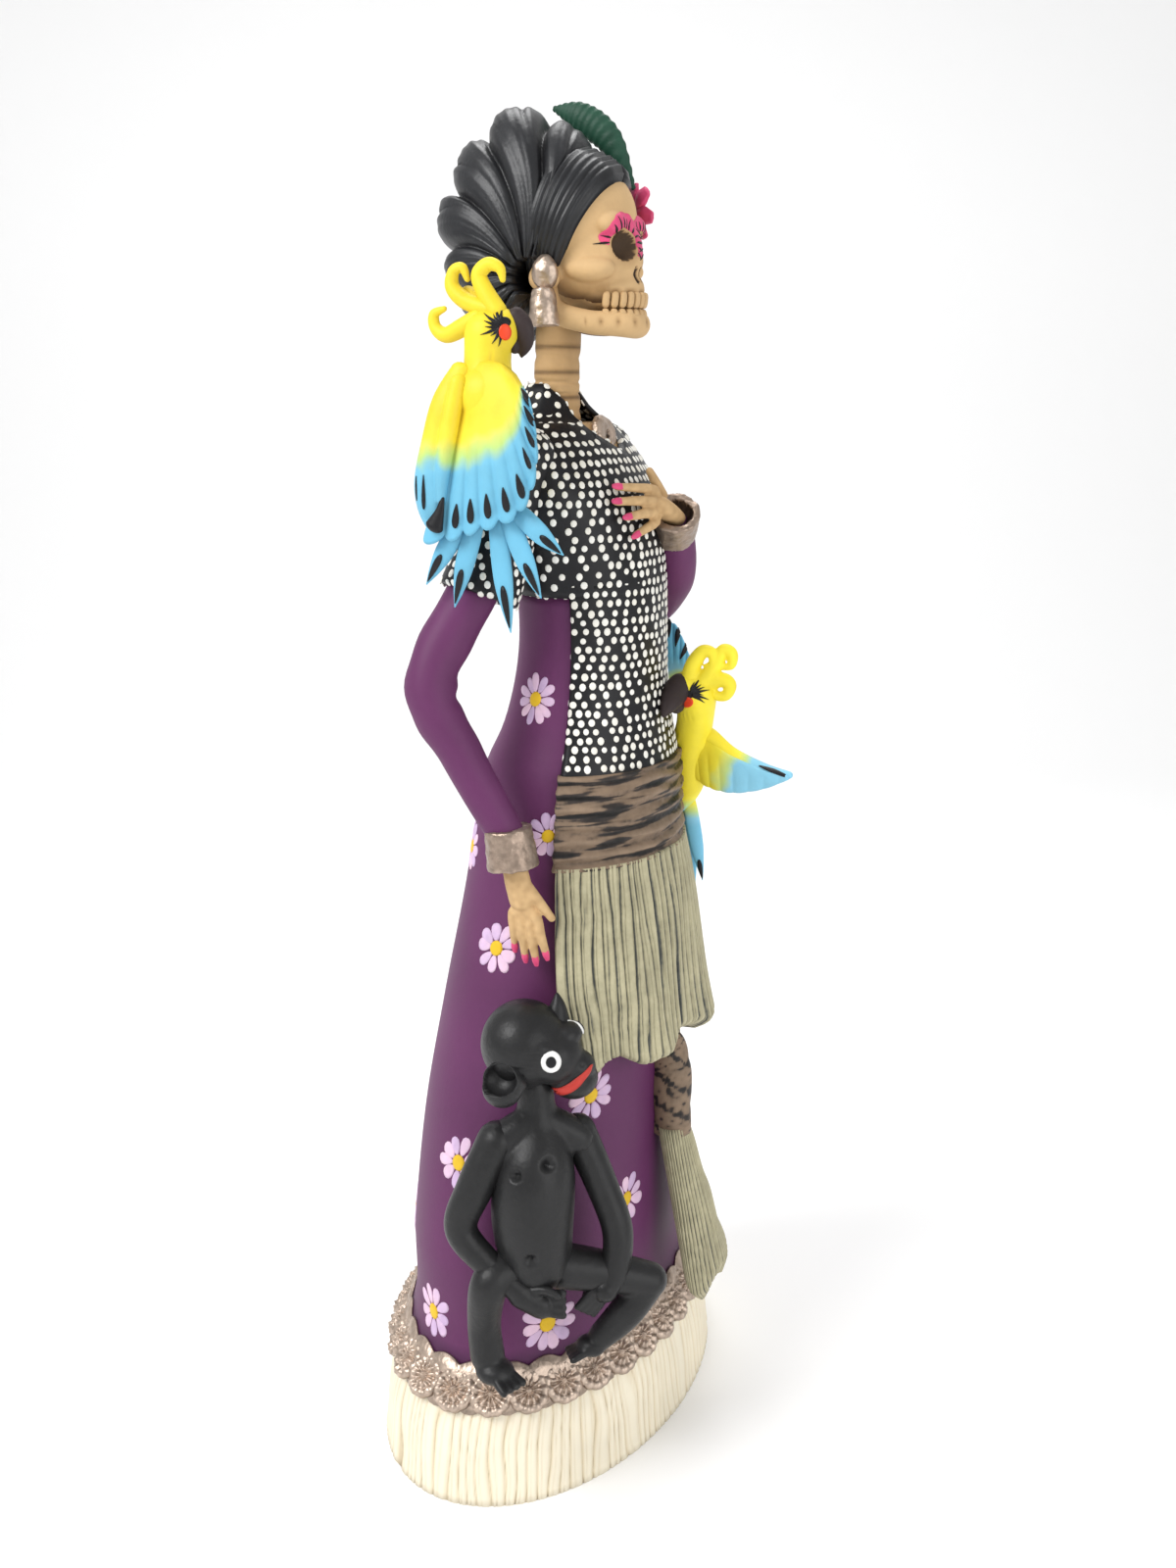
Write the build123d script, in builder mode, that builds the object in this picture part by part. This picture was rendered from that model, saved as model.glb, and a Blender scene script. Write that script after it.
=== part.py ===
from build123d import *
import math
import os

os.makedirs("parts", exist_ok=True)

# Dressed skeleton figure in hand-modelled, hollow-built painted clay, in millimetres.
# +Z is up, the figure faces -Y, and its right hand is on -X.
# The origin is the centre of the oval foot, on the surface the figure stands on.

# ---- driving dimensions -------------------------------------------------------------
HEM_TOP = 44.0            # top of the petticoat, where the dress starts
HEM_WALL = 6.0            # clay wall of the petticoat
DRESS_WALL = 5.0          # clay wall of the dress
DRESS_TOP = 303.0         # waist line where the chest starts
HOLLOW_TOP = 268.0        # roof of the hollow inside the dress
SHOULDER_TOP = 357.0      # top of the chest
CLOTH = 2.5               # thickness of the applied clay clothing
SASH_LOW = 216.0
SASH_TOP = 246.0
FRINGE_LOW = 143.0        # hem of the upper fringe
TAIL_WRAP_LOW = 110.0
TAIL_LOW = 45.0
LACE_LOW = 33.0
LACE_TOP = 46.0
LACE_THICK = 1.8
ROSETTE_COUNT = 28
ROSETTE_RADIUS = 6.6
ROSETTE_THICK = 3.0
NECK_RADIUS = 7.7
NECK_TOP = 386.0
PIN_RADIUS = 1.5
TOOTH_WIDTH = 2.5
TEETH_PER_ROW = 8

# Height, half width, half depth and centre Y of the oval body at each level.
HEM_OVALS = [(0, 87.5, 55, 0), (35, 81, 49.5, 0), (44, 75.5, 45.5, 0)]
DRESS_OVALS = [
    (44, 75.5, 45.5, 0), (80, 70.5, 44, 0), (120, 62, 42, -1), (160, 53, 39.5, -4.5),
    (200, 45, 36, -8.5), (225, 41, 33, -9.5), (243, 38, 31, -11), (256, 33, 27, -13),
    (268, 30, 24.5, -14), (285, 28, 23, -15), (303, 29, 23, -14.5),
]
CHEST_OVALS = [
    (303, 29, 23, -14.5), (320, 32, 24, -12), (338, 35, 22, -9), (350, 30, 17, -6),
    (357, 20, 13, -4),
]
LACE_OVALS = [(33, 81.4, 49.9, 0), (35, 81, 49.5, 0), (44, 75.5, 45.5, 0), (46, 75.1, 45.4, 0)]
FRINGE_OVALS = [(143, 70, 54, -3.2), (180, 55, 43.7, -6.5), (216, 46.4, 38, -9.2)]

# Cranium, and the hair that covers it.
HEAD = (0, -6, 420)
HEAD_RADII = (18.5, 24, 20)
HAIR_RADII = (21.0, 26.5, 22.8)
CROWN = (0, 8, 418)
CROWN_RADII = (22.5, 29, 37)
EAR = (0, -6, 403)


def body_loft(ovals, grow):
    """Stack of ovals joined by straight walls, each oval grown all round."""
    with BuildPart(mode=Mode.PRIVATE) as form:
        for height, half_width, half_depth, centre in ovals:
            with BuildSketch(Plane.XY.offset(height)):
                with Locations((0, centre)):
                    Ellipse(half_width + grow, half_depth + grow)
        loft(ruled=True)
    return form.part


def limb(points, radii):
    """Round limb through the points, with a ball at every joint."""
    ends = list(zip(points, radii))
    for (start, first), (end, second) in zip(ends, ends[1:]):
        run = Vector(end) - Vector(start)
        with Locations(Plane(origin=Vector(start) + run * 0.5, z_dir=run)):
            Cone(first, second, run.length)
    for point, radius in ends:
        with Locations(point):
            Sphere(radius)


def blob(centre, radii, turn=(0, 0, 0), mode=Mode.ADD):
    """Ellipsoid lump with its own turn."""
    ball = scale(Sphere(1, mode=Mode.PRIVATE), by=radii, mode=Mode.PRIVATE)
    add(Location(centre, turn) * ball, mode=mode)


def blade(root, tip, wide, thick, face):
    """Flat pointed oval from root to tip, its flat side turned to face."""
    run = Vector(tip) - Vector(root)
    along = run.normalized()
    side = Vector(face) - along * Vector(face).dot(along)
    seat = Plane(origin=Vector(root) + run * 0.5, x_dir=side, z_dir=run)
    ball = scale(Sphere(1, mode=Mode.PRIVATE), by=(thick / 2, wide / 2, run.length / 2),
                 mode=Mode.PRIVATE)
    add(seat.location * ball)


def hand(wrist, knuckle, tip, across, face, thumb):
    """Palm, four fingers side by side along across, and a thumb."""
    finger_pitch = 2.7
    wrist, knuckle, tip, across = Vector(wrist), Vector(knuckle), Vector(tip), Vector(across)
    across = across.normalized()
    limb([wrist, wrist + (knuckle - wrist) * 0.5], [4.2, 4.0])
    blade(wrist - (knuckle - wrist) * 0.1, knuckle + (knuckle - wrist) * 0.25, 13, 6, face)
    for place, reach in ((-1.5, 0.86), (-0.5, 1.0), (0.5, 0.97), (1.5, 0.8)):
        start = knuckle + across * (place * finger_pitch * 0.9)
        end = knuckle + (tip - knuckle) * reach + across * (place * finger_pitch * 1.15)
        limb([start, end], [1.7, 1.3])
    limb([wrist + (knuckle - wrist) * 0.3, Vector(thumb)], [1.9, 1.4])


def save(part, label):
    """Name the part and write its file."""
    part.label = label
    export_step(part, "parts/" + label + ".step")


# Filled forms of the dress and the chest, used to seat everything that lies on them.
dress_form = body_loft(DRESS_OVALS, 0)
chest_form = body_loft(CHEST_OVALS, 0)
hem_form = body_loft(HEM_OVALS, 0)

# ---- petticoat and dress ------------------------------------------------------------
with BuildPart() as petticoat_hem:
    add(hem_form)
    add(body_loft(HEM_OVALS, -HEM_WALL), mode=Mode.SUBTRACT)
save(petticoat_hem.part, "petticoat_hem")

dress_hollow = [oval for oval in DRESS_OVALS if oval[0] <= HOLLOW_TOP]
with BuildPart() as dress_body:
    add(dress_form)
    add(body_loft(dress_hollow, -DRESS_WALL), mode=Mode.SUBTRACT)
save(dress_body.part, "dress_body")

# ---- metallic lace round the foot ---------------------------------------------------
with BuildPart() as lace_band:
    add(body_loft(LACE_OVALS, LACE_THICK))
    add(hem_form, mode=Mode.SUBTRACT)
    add(dress_form, mode=Mode.SUBTRACT)
save(lace_band.part, "lace_band")

LACE_MID = 39.0
rosette_ring = Edge.make_ellipse(79.0 + LACE_THICK, 48.0 + LACE_THICK)
with BuildPart() as lace_rosettes:
    for number in range(ROSETTE_COUNT):
        spot = rosette_ring.position_at(number / ROSETTE_COUNT)
        outward = Vector(spot.X / 79.0 ** 2, spot.Y / 48.0 ** 2, 0).normalized()
        seat = Vector(spot.X, spot.Y, LACE_MID)
        with Locations(Plane(origin=seat, z_dir=outward + Vector(0, 0, 0.55))):
            Cylinder(ROSETTE_RADIUS, ROSETTE_THICK)
            with Locations((0, 0, ROSETTE_THICK / 2)):
                Sphere(1.5)
    add(lace_band.part, mode=Mode.SUBTRACT)
    add(hem_form, mode=Mode.SUBTRACT)
    add(dress_form, mode=Mode.SUBTRACT)
save(lace_rosettes.part, "lace_rosettes")

# ---- chest, neck and the wire that ties the head down -------------------------------
NECK_LOW = 350.0
with BuildPart() as neck:
    limb([(0, -3, NECK_LOW), (0, -3, 368), (0, -4, NECK_TOP)], [9.0, NECK_RADIUS, 7.0])
    for height in (362, 369, 376):
        with Locations((0, -3, height)):
            Torus(NECK_RADIUS + 0.5, 0.8, mode=Mode.SUBTRACT)
    with Locations((0, -3, 365)):
        Cylinder(PIN_RADIUS, 80, mode=Mode.SUBTRACT)
save(neck.part, "neck")

with BuildPart() as neck_pin:
    with Locations((0, -3, 367.5)):
        Cylinder(PIN_RADIUS, 75)
save(neck_pin.part, "neck_pin")

with BuildPart() as chest_core:
    add(chest_form)
    add(neck.part, mode=Mode.SUBTRACT)
    add(neck_pin.part, mode=Mode.SUBTRACT)
save(chest_core.part, "chest_core")

# ---- arms: sleeve, cuff and hand ----------------------------------------------------
RIGHT_SHOULDER = (-33, -6, 344)
RIGHT_ELBOW = (-58, 14.4, 278)
RIGHT_WRIST = (-56, -11.8, 231)
with BuildPart() as right_sleeve:
    limb([RIGHT_SHOULDER, (-45, 3.5, 310), RIGHT_ELBOW, RIGHT_WRIST], [8, 7.6, 8.2, 5.8])
    add(chest_form, mode=Mode.SUBTRACT)
save(right_sleeve.part, "right_sleeve")

with BuildPart() as right_cuff:
    limb([(-56, -11.5, 232), (-56, -13, 222)], [7.6, 8.6])
    with Locations((-56, -12, 212)):
        Box(40, 40, 12, mode=Mode.SUBTRACT)
    add(right_sleeve.part, mode=Mode.SUBTRACT)
save(right_cuff.part, "right_cuff")

with BuildPart() as right_hand:
    hand((-56, -13, 221), (-54.5, -16, 204.5), (-53, -17, 187), (0, 1, -0.1), (1, 0, 0),
         (-52, -25, 203))
    add(right_cuff.part, mode=Mode.SUBTRACT)
    add(right_sleeve.part, mode=Mode.SUBTRACT)
save(right_hand.part, "right_hand")

LEFT_SHOULDER = (33, -6, 344)
LEFT_ELBOW = (46, -12, 288)
LEFT_WRIST = (10, -42, 323)
with BuildPart() as left_sleeve:
    limb([LEFT_SHOULDER, (45, -2, 315), LEFT_ELBOW, (26, -34, 303), LEFT_WRIST],
         [8, 7.6, 8.4, 7.6, 5.8])
    add(chest_form, mode=Mode.SUBTRACT)
    add(body_loft(DRESS_OVALS, CLOTH), mode=Mode.SUBTRACT)
save(left_sleeve.part, "left_sleeve")

with BuildPart() as left_cuff:
    limb([(11, -41, 322), (5, -43, 327)], [7.4, 8.2])
    with Locations(Plane(origin=(1, -44, 330), z_dir=(-6, -2, 5))):
        Box(40, 40, 8, mode=Mode.SUBTRACT)
    add(left_sleeve.part, mode=Mode.SUBTRACT)
    add(body_loft(CHEST_OVALS, CLOTH), mode=Mode.SUBTRACT)
save(left_cuff.part, "left_cuff")

with BuildPart() as left_hand:
    hand((6, -43, 326.5), (-6, -39.5, 332), (-22, -33.5, 331), (0.25, 0.3, -1), (0.2, -1, 0.2),
         (-4, -36, 342))
    add(left_cuff.part, mode=Mode.SUBTRACT)
    add(left_sleeve.part, mode=Mode.SUBTRACT)
    add(body_loft(CHEST_OVALS, CLOTH), mode=Mode.SUBTRACT)
    add(body_loft(DRESS_OVALS, CLOTH), mode=Mode.SUBTRACT)
save(left_hand.part, "left_hand")

# ---- dotted blouse: chest, apron front and cap sleeves ------------------------------
NECKLINE_DEPTH = 342.0
with BuildPart() as blouse_chest:
    add(body_loft(CHEST_OVALS, CLOTH))
    with BuildSketch(Plane.XZ.offset(60)):
        with BuildLine():
            Polyline((-17, 372), (0, NECKLINE_DEPTH), (17, 372), close=True)
        make_face()
    extrude(amount=-58, mode=Mode.SUBTRACT)
    with Locations((0, -3, 360)):
        Cylinder(11, 12, mode=Mode.SUBTRACT)
    add(chest_form, mode=Mode.SUBTRACT)
    for piece in (neck, neck_pin, right_sleeve, left_sleeve, left_cuff, left_hand):
        add(piece.part, mode=Mode.SUBTRACT)
save(blouse_chest.part, "blouse_chest")

PANEL_EDGE = -21.0
with BuildPart() as blouse_panel:
    add(body_loft(DRESS_OVALS, CLOTH))
    with Locations((0, PANEL_EDGE - 50, (SASH_TOP + DRESS_TOP) / 2)):
        Box(200, 100, DRESS_TOP - SASH_TOP, mode=Mode.INTERSECT)
    add(dress_form, mode=Mode.SUBTRACT)
    for piece in (left_sleeve, left_hand):
        add(piece.part, mode=Mode.SUBTRACT)
save(blouse_panel.part, "blouse_panel")


def cap_sleeve(side):
    """Flared short sleeve round the upper arm; side is -1 for the right arm."""
    limb([(side * 31, -6, 346), (side * 45, 2 + side * -1.5, 311)], [10.5, 13.0])
    with Locations((side * 45, 2, 297)):
        Box(60, 60, 24, mode=Mode.SUBTRACT)


with BuildPart() as cap_sleeve_right:
    cap_sleeve(-1)
    add(chest_form, mode=Mode.SUBTRACT)
    add(dress_form, mode=Mode.SUBTRACT)
    for piece in (right_sleeve, blouse_chest, blouse_panel):
        add(piece.part, mode=Mode.SUBTRACT)
save(cap_sleeve_right.part, "cap_sleeve_right")

with BuildPart() as cap_sleeve_left:
    cap_sleeve(1)
    add(chest_form, mode=Mode.SUBTRACT)
    add(dress_form, mode=Mode.SUBTRACT)
    for piece in (left_sleeve, blouse_chest, blouse_panel):
        add(piece.part, mode=Mode.SUBTRACT)
save(cap_sleeve_left.part, "cap_sleeve_left")

# ---- sash and fringe ----------------------------------------------------------------
with BuildPart() as waist_sash:
    add(body_loft(DRESS_OVALS, 3.5))
    with Locations((0, -70.5, (SASH_LOW + SASH_TOP) / 2)):
        Box(200, 100, SASH_TOP - SASH_LOW, mode=Mode.INTERSECT)
    add(dress_form, mode=Mode.SUBTRACT)
save(waist_sash.part, "waist_sash")

with BuildPart() as fringe_upper:
    add(body_loft(FRINGE_OVALS, 0))
    with BuildSketch(Plane.YZ):
        with BuildLine():
            Polyline((-21.8, SASH_LOW), (-24, 180), (-32, FRINGE_LOW), (-100, FRINGE_LOW),
                     (-100, SASH_LOW), close=True)
        make_face()
    extrude(amount=100, both=True, mode=Mode.INTERSECT)
    add(dress_form, mode=Mode.SUBTRACT)
save(fringe_upper.part, "fringe_upper")

with BuildPart() as fringe_tail_wrap:
    for height, half_width, centre in ((TAIL_WRAP_LOW, 6.4, -48), (134, 6.6, -47)):
        with BuildSketch(Plane.XY.offset(height)):
            with Locations((-2, centre)):
                Ellipse(half_width, 5.6)
    loft(ruled=True)
    with Locations((-2, -46.5, 140)):
        Cylinder(5.5, 12)
    add(dress_form, mode=Mode.SUBTRACT)
    add(fringe_upper.part, mode=Mode.SUBTRACT)
save(fringe_tail_wrap.part, "fringe_tail_wrap")

with BuildPart() as fringe_tail:
    for height, half_width, half_depth, x, y in (
            (TAIL_LOW, 17, 5.5, 4, -61), (62, 16.5, 5.5, 3, -58.5), (85, 13, 5, 1, -54),
            (112, 7.5, 5.5, -2, -48.5)):
        with BuildSketch(Plane.XY.offset(height)):
            with Locations((x, y)):
                Ellipse(half_width, half_depth)
    loft(ruled=True)
    add(dress_form, mode=Mode.SUBTRACT)
    for piece in (fringe_tail_wrap, lace_band, lace_rosettes):
        add(piece.part, mode=Mode.SUBTRACT)
save(fringe_tail.part, "fringe_tail")

# ---- skull --------------------------------------------------------------------------
with BuildPart() as skull:
    blob(HEAD, HEAD_RADII)
    blob((0, -15, 408), (15, 17.5, 17))
    for side in (-1, 1):
        blob((side * 12.5, -20, 404), (5, 8, 4.5))
    blob((0, -20, 397), (9.5, 11.5, 7))
    with Locations((0, -20, 383)):
        Box(60, 60, 20, mode=Mode.SUBTRACT)
    for side in (-1, 1):
        blob((side * 7.8, -33, 412), (5.6, 6.5, 5.4), mode=Mode.SUBTRACT)
    blob((0, -34.5, 402.5), (2.6, 4, 4.2), mode=Mode.SUBTRACT)
    add(neck.part, mode=Mode.SUBTRACT)
    add(neck_pin.part, mode=Mode.SUBTRACT)
save(skull.part, "skull")

with BuildPart() as jaw:
    blob((0, -19.8, 393), (12.6, 13.4, 9.5))
    with Locations((0, -17, 402.5)):
        Box(60, 60, 20, mode=Mode.SUBTRACT)
    for piece in (skull, neck, neck_pin):
        add(piece.part, mode=Mode.SUBTRACT)
save(jaw.part, "jaw")


def teeth(height, reach, narrow, tall):
    """Row of teeth on an arc round the front of the mouth; narrow squeezes it sideways."""
    spread = 104.0
    for number in range(TEETH_PER_ROW):
        turn = math.radians(-90 + spread * (number / (TEETH_PER_ROW - 1) - 0.5))
        place = (reach * narrow * math.cos(turn), -19 + reach * math.sin(turn), height)
        blob(place, (TOOTH_WIDTH / 2, 1.5, tall / 2), (0, 0, math.degrees(turn) + 90))


with BuildPart() as upper_teeth:
    teeth(394.8, 11.9, 0.82, 4.6)
    add(skull.part, mode=Mode.SUBTRACT)
    add(jaw.part, mode=Mode.SUBTRACT)
save(upper_teeth.part, "upper_teeth")

with BuildPart() as lower_teeth:
    teeth(390.8, 13.7, 0.92, 4.4)
    for piece in (skull, jaw, upper_teeth):
        add(piece.part, mode=Mode.SUBTRACT)
save(lower_teeth.part, "lower_teeth")

# ---- hair ---------------------------------------------------------------------------
HAIRLINE = Plane(origin=(0, -5, 398), z_dir=(0, 0.836, 0.549))
BRAID_LINE = Plane(origin=(0, 2, 395), z_dir=(0, 0.886, 0.464))
PARTING = 0.25


def hair_half(side):
    """Smooth combed hair on one side of the centre parting."""
    blob(HEAD, HAIR_RADII)
    with Locations(HAIRLINE):
        Box(120, 120, 80, align=(Align.CENTER, Align.CENTER, Align.MIN), mode=Mode.INTERSECT)
    with Locations((side * (PARTING + 30), 0, 420)):
        Box(60, 120, 120, mode=Mode.INTERSECT)
    for piece in (skull, jaw, neck, neck_pin):
        add(piece.part, mode=Mode.SUBTRACT)


with BuildPart() as hair_band_right:
    hair_half(-1)
save(hair_band_right.part, "hair_band_right")

with BuildPart() as hair_band_left:
    hair_half(1)
save(hair_band_left.part, "hair_band_left")

ROLL_ANGLES = (22, 0, -22, -44, -66, -88, -110)
with BuildPart() as braid_crown:
    blob(CROWN, CROWN_RADII)
    with Locations(BRAID_LINE):
        Box(120, 120, 90, align=(Align.CENTER, Align.CENTER, Align.MIN), mode=Mode.INTERSECT)
    for angle in ROLL_ANGLES:
        add(Location(EAR, (angle, 0, 0)) * Box(60, 1.6, 26, mode=Mode.PRIVATE).moved(
            Location((0, 0, 43))), mode=Mode.SUBTRACT)
    blob(HEAD, HAIR_RADII, mode=Mode.SUBTRACT)
    for piece in (skull, jaw, neck):
        add(piece.part, mode=Mode.SUBTRACT)
save(braid_crown.part, "braid_crown")

with BuildPart() as nape_hair:
    blob((0, 15, 388), (13, 9, 13))
    for piece in (braid_crown, hair_band_left, hair_band_right, skull, jaw, neck):
        add(piece.part, mode=Mode.SUBTRACT)
save(nape_hair.part, "nape_hair")

# ---- leaves and flower in the hair --------------------------------------------------
with BuildPart() as leaf_large:
    limb([(15, 4, 457), (17, -6, 453), (18, -15, 444), (18, -22, 431)], [1.4, 3.6, 3.4, 1.6])
    for piece in (braid_crown, hair_band_left, skull):
        add(piece.part, mode=Mode.SUBTRACT)
save(leaf_large.part, "leaf_large")

with BuildPart() as leaf_small:
    blade((15, 4, 402), (13, 15, 380), 9, 3.4, (1, 0.3, 0.2))
    for piece in (braid_crown, hair_band_left, nape_hair, skull, jaw):
        add(piece.part, mode=Mode.SUBTRACT)
save(leaf_small.part, "leaf_small")

PETAL_COUNT = 5
FLOWER = Plane(origin=(20, -22, 424), z_dir=(0.75, -0.65, 0.1))
with BuildPart() as flower_centre:
    with Locations(FLOWER):
        Sphere(3.0)
    add(hair_band_left.part, mode=Mode.SUBTRACT)
    add(skull.part, mode=Mode.SUBTRACT)
save(flower_centre.part, "flower_centre")

with BuildPart() as flower_petals:
    for number in range(PETAL_COUNT):
        turn = 2 * math.pi * number / PETAL_COUNT
        reach = FLOWER.x_dir * math.cos(turn) + FLOWER.y_dir * math.sin(turn)
        blade(FLOWER.origin + reach * 1.0, FLOWER.origin + reach * 9.8, 7.4, 3.4,
              FLOWER.z_dir + reach * 0.3)
    for piece in (flower_centre, hair_band_left, skull, leaf_large, braid_crown):
        add(piece.part, mode=Mode.SUBTRACT)
save(flower_petals.part, "flower_petals")


# ---- earrings and brooch ------------------------------------------------------------
EAR_X = 18.5
STUD = (EAR_X, -8, 403)   # left button; the right one mirrors it


def ear_stud(side):
    """Oval button on the side of the head."""
    hair = hair_band_right if side < 0 else hair_band_left
    blob((side * STUD[0], STUD[1], STUD[2]), (3.2, 4.4, 6.2), (4, 3, 90))
    for piece in (skull, jaw, hair):
        add(piece.part, mode=Mode.SUBTRACT)


def ear_drop(side):
    """Tapered barrel that hangs below the button, wider at its foot."""
    with Locations((side * (EAR_X + 1.5), -8, 392)):
        Cone(5.3, 3.9, 13)


with BuildPart() as ear_stud_right:
    ear_stud(-1)
save(ear_stud_right.part, "ear_stud_right")

with BuildPart() as ear_drop_right:
    ear_drop(-1)
    for piece in (ear_stud_right, jaw, skull):
        add(piece.part, mode=Mode.SUBTRACT)
save(ear_drop_right.part, "ear_drop_right")

with BuildPart() as ear_stud_left:
    ear_stud(1)
save(ear_stud_left.part, "ear_stud_left")

with BuildPart() as ear_drop_left:
    ear_drop(1)
    for piece in (ear_stud_left, jaw, skull, leaf_small):
        add(piece.part, mode=Mode.SUBTRACT)
save(ear_drop_left.part, "ear_drop_left")

with BuildPart() as brooch:
    with Locations(Plane(origin=(0, -17.5, 354), z_dir=(0, -1, 0.25))):
        Torus(4.9, 2.0)
        Cylinder(4.6, 2.4)
        Sphere(2.2)
    for piece in (neck, chest_core, blouse_chest):
        add(piece.part, mode=Mode.SUBTRACT)
save(brooch.part, "brooch")

# ---- parrot on the right shoulder ---------------------------------------------------
with BuildPart() as shoulder_parrot_body:
    limb([(-56, -9, 349), (-55, -7, 362), (-52, -5, 374), (-50, -4, 383)], [9.6, 8.6, 5.6, 6.2])
    for piece in (cap_sleeve_right, right_sleeve):
        add(piece.part, mode=Mode.SUBTRACT)
save(shoulder_parrot_body.part, "shoulder_parrot_body")

with BuildPart() as shoulder_parrot_beak:
    limb([(-48, -8, 383), (-46.5, -11.5, 382), (-45.5, -13, 378.5)], [3.6, 2.6, 1.0])
    add(shoulder_parrot_body.part, mode=Mode.SUBTRACT)
save(shoulder_parrot_beak.part, "shoulder_parrot_beak")

with BuildPart() as shoulder_parrot_crest:
    for curl in ((-50, -5, 399), (-50, 3, 396), (-50, 9, 389)):
        limb([(-50, -2, 386), curl], [2.4, 3.6])
    add(shoulder_parrot_body.part, mode=Mode.SUBTRACT)
save(shoulder_parrot_crest.part, "shoulder_parrot_crest")

with BuildPart() as shoulder_parrot_wing_right:
    blade((-63.4, -9.3, 371.3), (-64.8, -18.6, 322), 24.6, 7.0, (1, -0.2, 0.03))
    for piece in (shoulder_parrot_body, cap_sleeve_right, right_sleeve):
        add(piece.part, mode=Mode.SUBTRACT)
save(shoulder_parrot_wing_right.part, "shoulder_parrot_wing_right")

with BuildPart() as shoulder_parrot_wing_left:
    blade((-58, -2, 370), (-58, 18, 324), 21, 7, (1, 0.3, 0))
    for piece in (shoulder_parrot_body, shoulder_parrot_wing_right, cap_sleeve_right,
                  right_sleeve):
        add(piece.part, mode=Mode.SUBTRACT)
save(shoulder_parrot_wing_left.part, "shoulder_parrot_wing_left")

with BuildPart() as shoulder_parrot_tail:
    for tip in ((-58, -33, 321), (-58, -24, 307), (-58, -14, 297), (-58, 4, 303),
                (-58, 14.5, 309)):
        blade((-58, -8 + tip[1] * 0.15, 344), tip, 7.5, 3.2, (1, 0, 0))
    for piece in (shoulder_parrot_body, shoulder_parrot_wing_right, shoulder_parrot_wing_left,
                  cap_sleeve_right, right_sleeve):
        add(piece.part, mode=Mode.SUBTRACT)
save(shoulder_parrot_tail.part, "shoulder_parrot_tail")

# ---- parrot on the left hip ---------------------------------------------------------
with BuildPart() as hip_parrot_body:
    limb([(30, -38.5, 222), (27, -42, 240), (24, -44, 254), (22, -46, 266)],
         [3.4, 8.2, 5.8, 6.2])
    add(dress_form, mode=Mode.SUBTRACT)
    for piece in (waist_sash, blouse_panel, fringe_upper):
        add(piece.part, mode=Mode.SUBTRACT)
save(hip_parrot_body.part, "hip_parrot_body")

with BuildPart() as hip_parrot_beak:
    limb([(19, -42, 266), (16, -38.5, 264), (14.5, -36.5, 260)], [3.6, 2.8, 1.2])
    add(hip_parrot_body.part, mode=Mode.SUBTRACT)
    add(body_loft(DRESS_OVALS, CLOTH), mode=Mode.SUBTRACT)
save(hip_parrot_beak.part, "hip_parrot_beak")

with BuildPart() as hip_parrot_crest:
    for curl in ((20, -50, 277), (21, -56, 277), (23, -56, 269)):
        limb([(22, -48, 268), curl], [2.4, 3.6])
    add(hip_parrot_body.part, mode=Mode.SUBTRACT)
save(hip_parrot_crest.part, "hip_parrot_crest")

with BuildPart() as hip_parrot_wing_near:
    blade((25, -42, 250), (20, -82, 238), 19, 5.5, (1, 0.1, 0.5))
    add(hip_parrot_body.part, mode=Mode.SUBTRACT)
save(hip_parrot_wing_near.part, "hip_parrot_wing_near")

with BuildPart() as hip_parrot_wing_far:
    blade((27, -40, 244), (46, -27, 286), 17, 5.5, (0.6, -0.8, 0))
    add(dress_form, mode=Mode.SUBTRACT)
    for piece in (hip_parrot_body, left_sleeve, blouse_panel, waist_sash):
        add(piece.part, mode=Mode.SUBTRACT)
save(hip_parrot_wing_far.part, "hip_parrot_wing_far")

with BuildPart() as hip_parrot_tail:
    for tip in ((34, -44.5, 193), (40, -39.5, 184)):
        blade((29, -39.5, 232), tip, 6.5, 3.4, (0.5, -0.85, 0))
    add(dress_form, mode=Mode.SUBTRACT)
    for piece in (hip_parrot_body, waist_sash, fringe_upper):
        add(piece.part, mode=Mode.SUBTRACT)
save(hip_parrot_tail.part, "hip_parrot_tail")

# ---- monkey on the right side of the skirt ------------------------------------------
with BuildPart() as monkey_torso:
    limb([(-71, -28, 93), (-70, -27, 109), (-67, -27, 124), (-63, -24, 140)],
         [11.5, 13.6, 12.8, 5.4])
    add(dress_form, mode=Mode.SUBTRACT)
save(monkey_torso.part, "monkey_torso")

with BuildPart() as monkey_head:
    limb([(-66, -19.5, 163), (-62, -28, 156), (-57, -35, 149)], [14.2, 10.5, 8.0])
    add(dress_form, mode=Mode.SUBTRACT)
    for piece in (monkey_torso, fringe_upper):
        add(piece.part, mode=Mode.SUBTRACT)
save(monkey_head.part, "monkey_head")

with BuildPart() as monkey_ears:
    for centre in ((-73, -8, 154), (-51, -20, 166)):
        with Locations(Plane(origin=centre, z_dir=(-0.9, -0.35, 0))):
            Torus(4.8, 2.2)
            Cylinder(4.8, 1.6)
    add(dress_form, mode=Mode.SUBTRACT)
    for piece in (monkey_head, monkey_torso):
        add(piece.part, mode=Mode.SUBTRACT)
save(monkey_ears.part, "monkey_ears")

with BuildPart() as monkey_arm_right:
    limb([(-72, -13, 131), (-83, 1, 101), (-80, -26, 82), (-76, -34, 76)], [6.4, 6.0, 4.6, 4.9])
    add(monkey_torso.part, mode=Mode.SUBTRACT)
    add(dress_form, mode=Mode.SUBTRACT)
save(monkey_arm_right.part, "monkey_arm_right")

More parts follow.
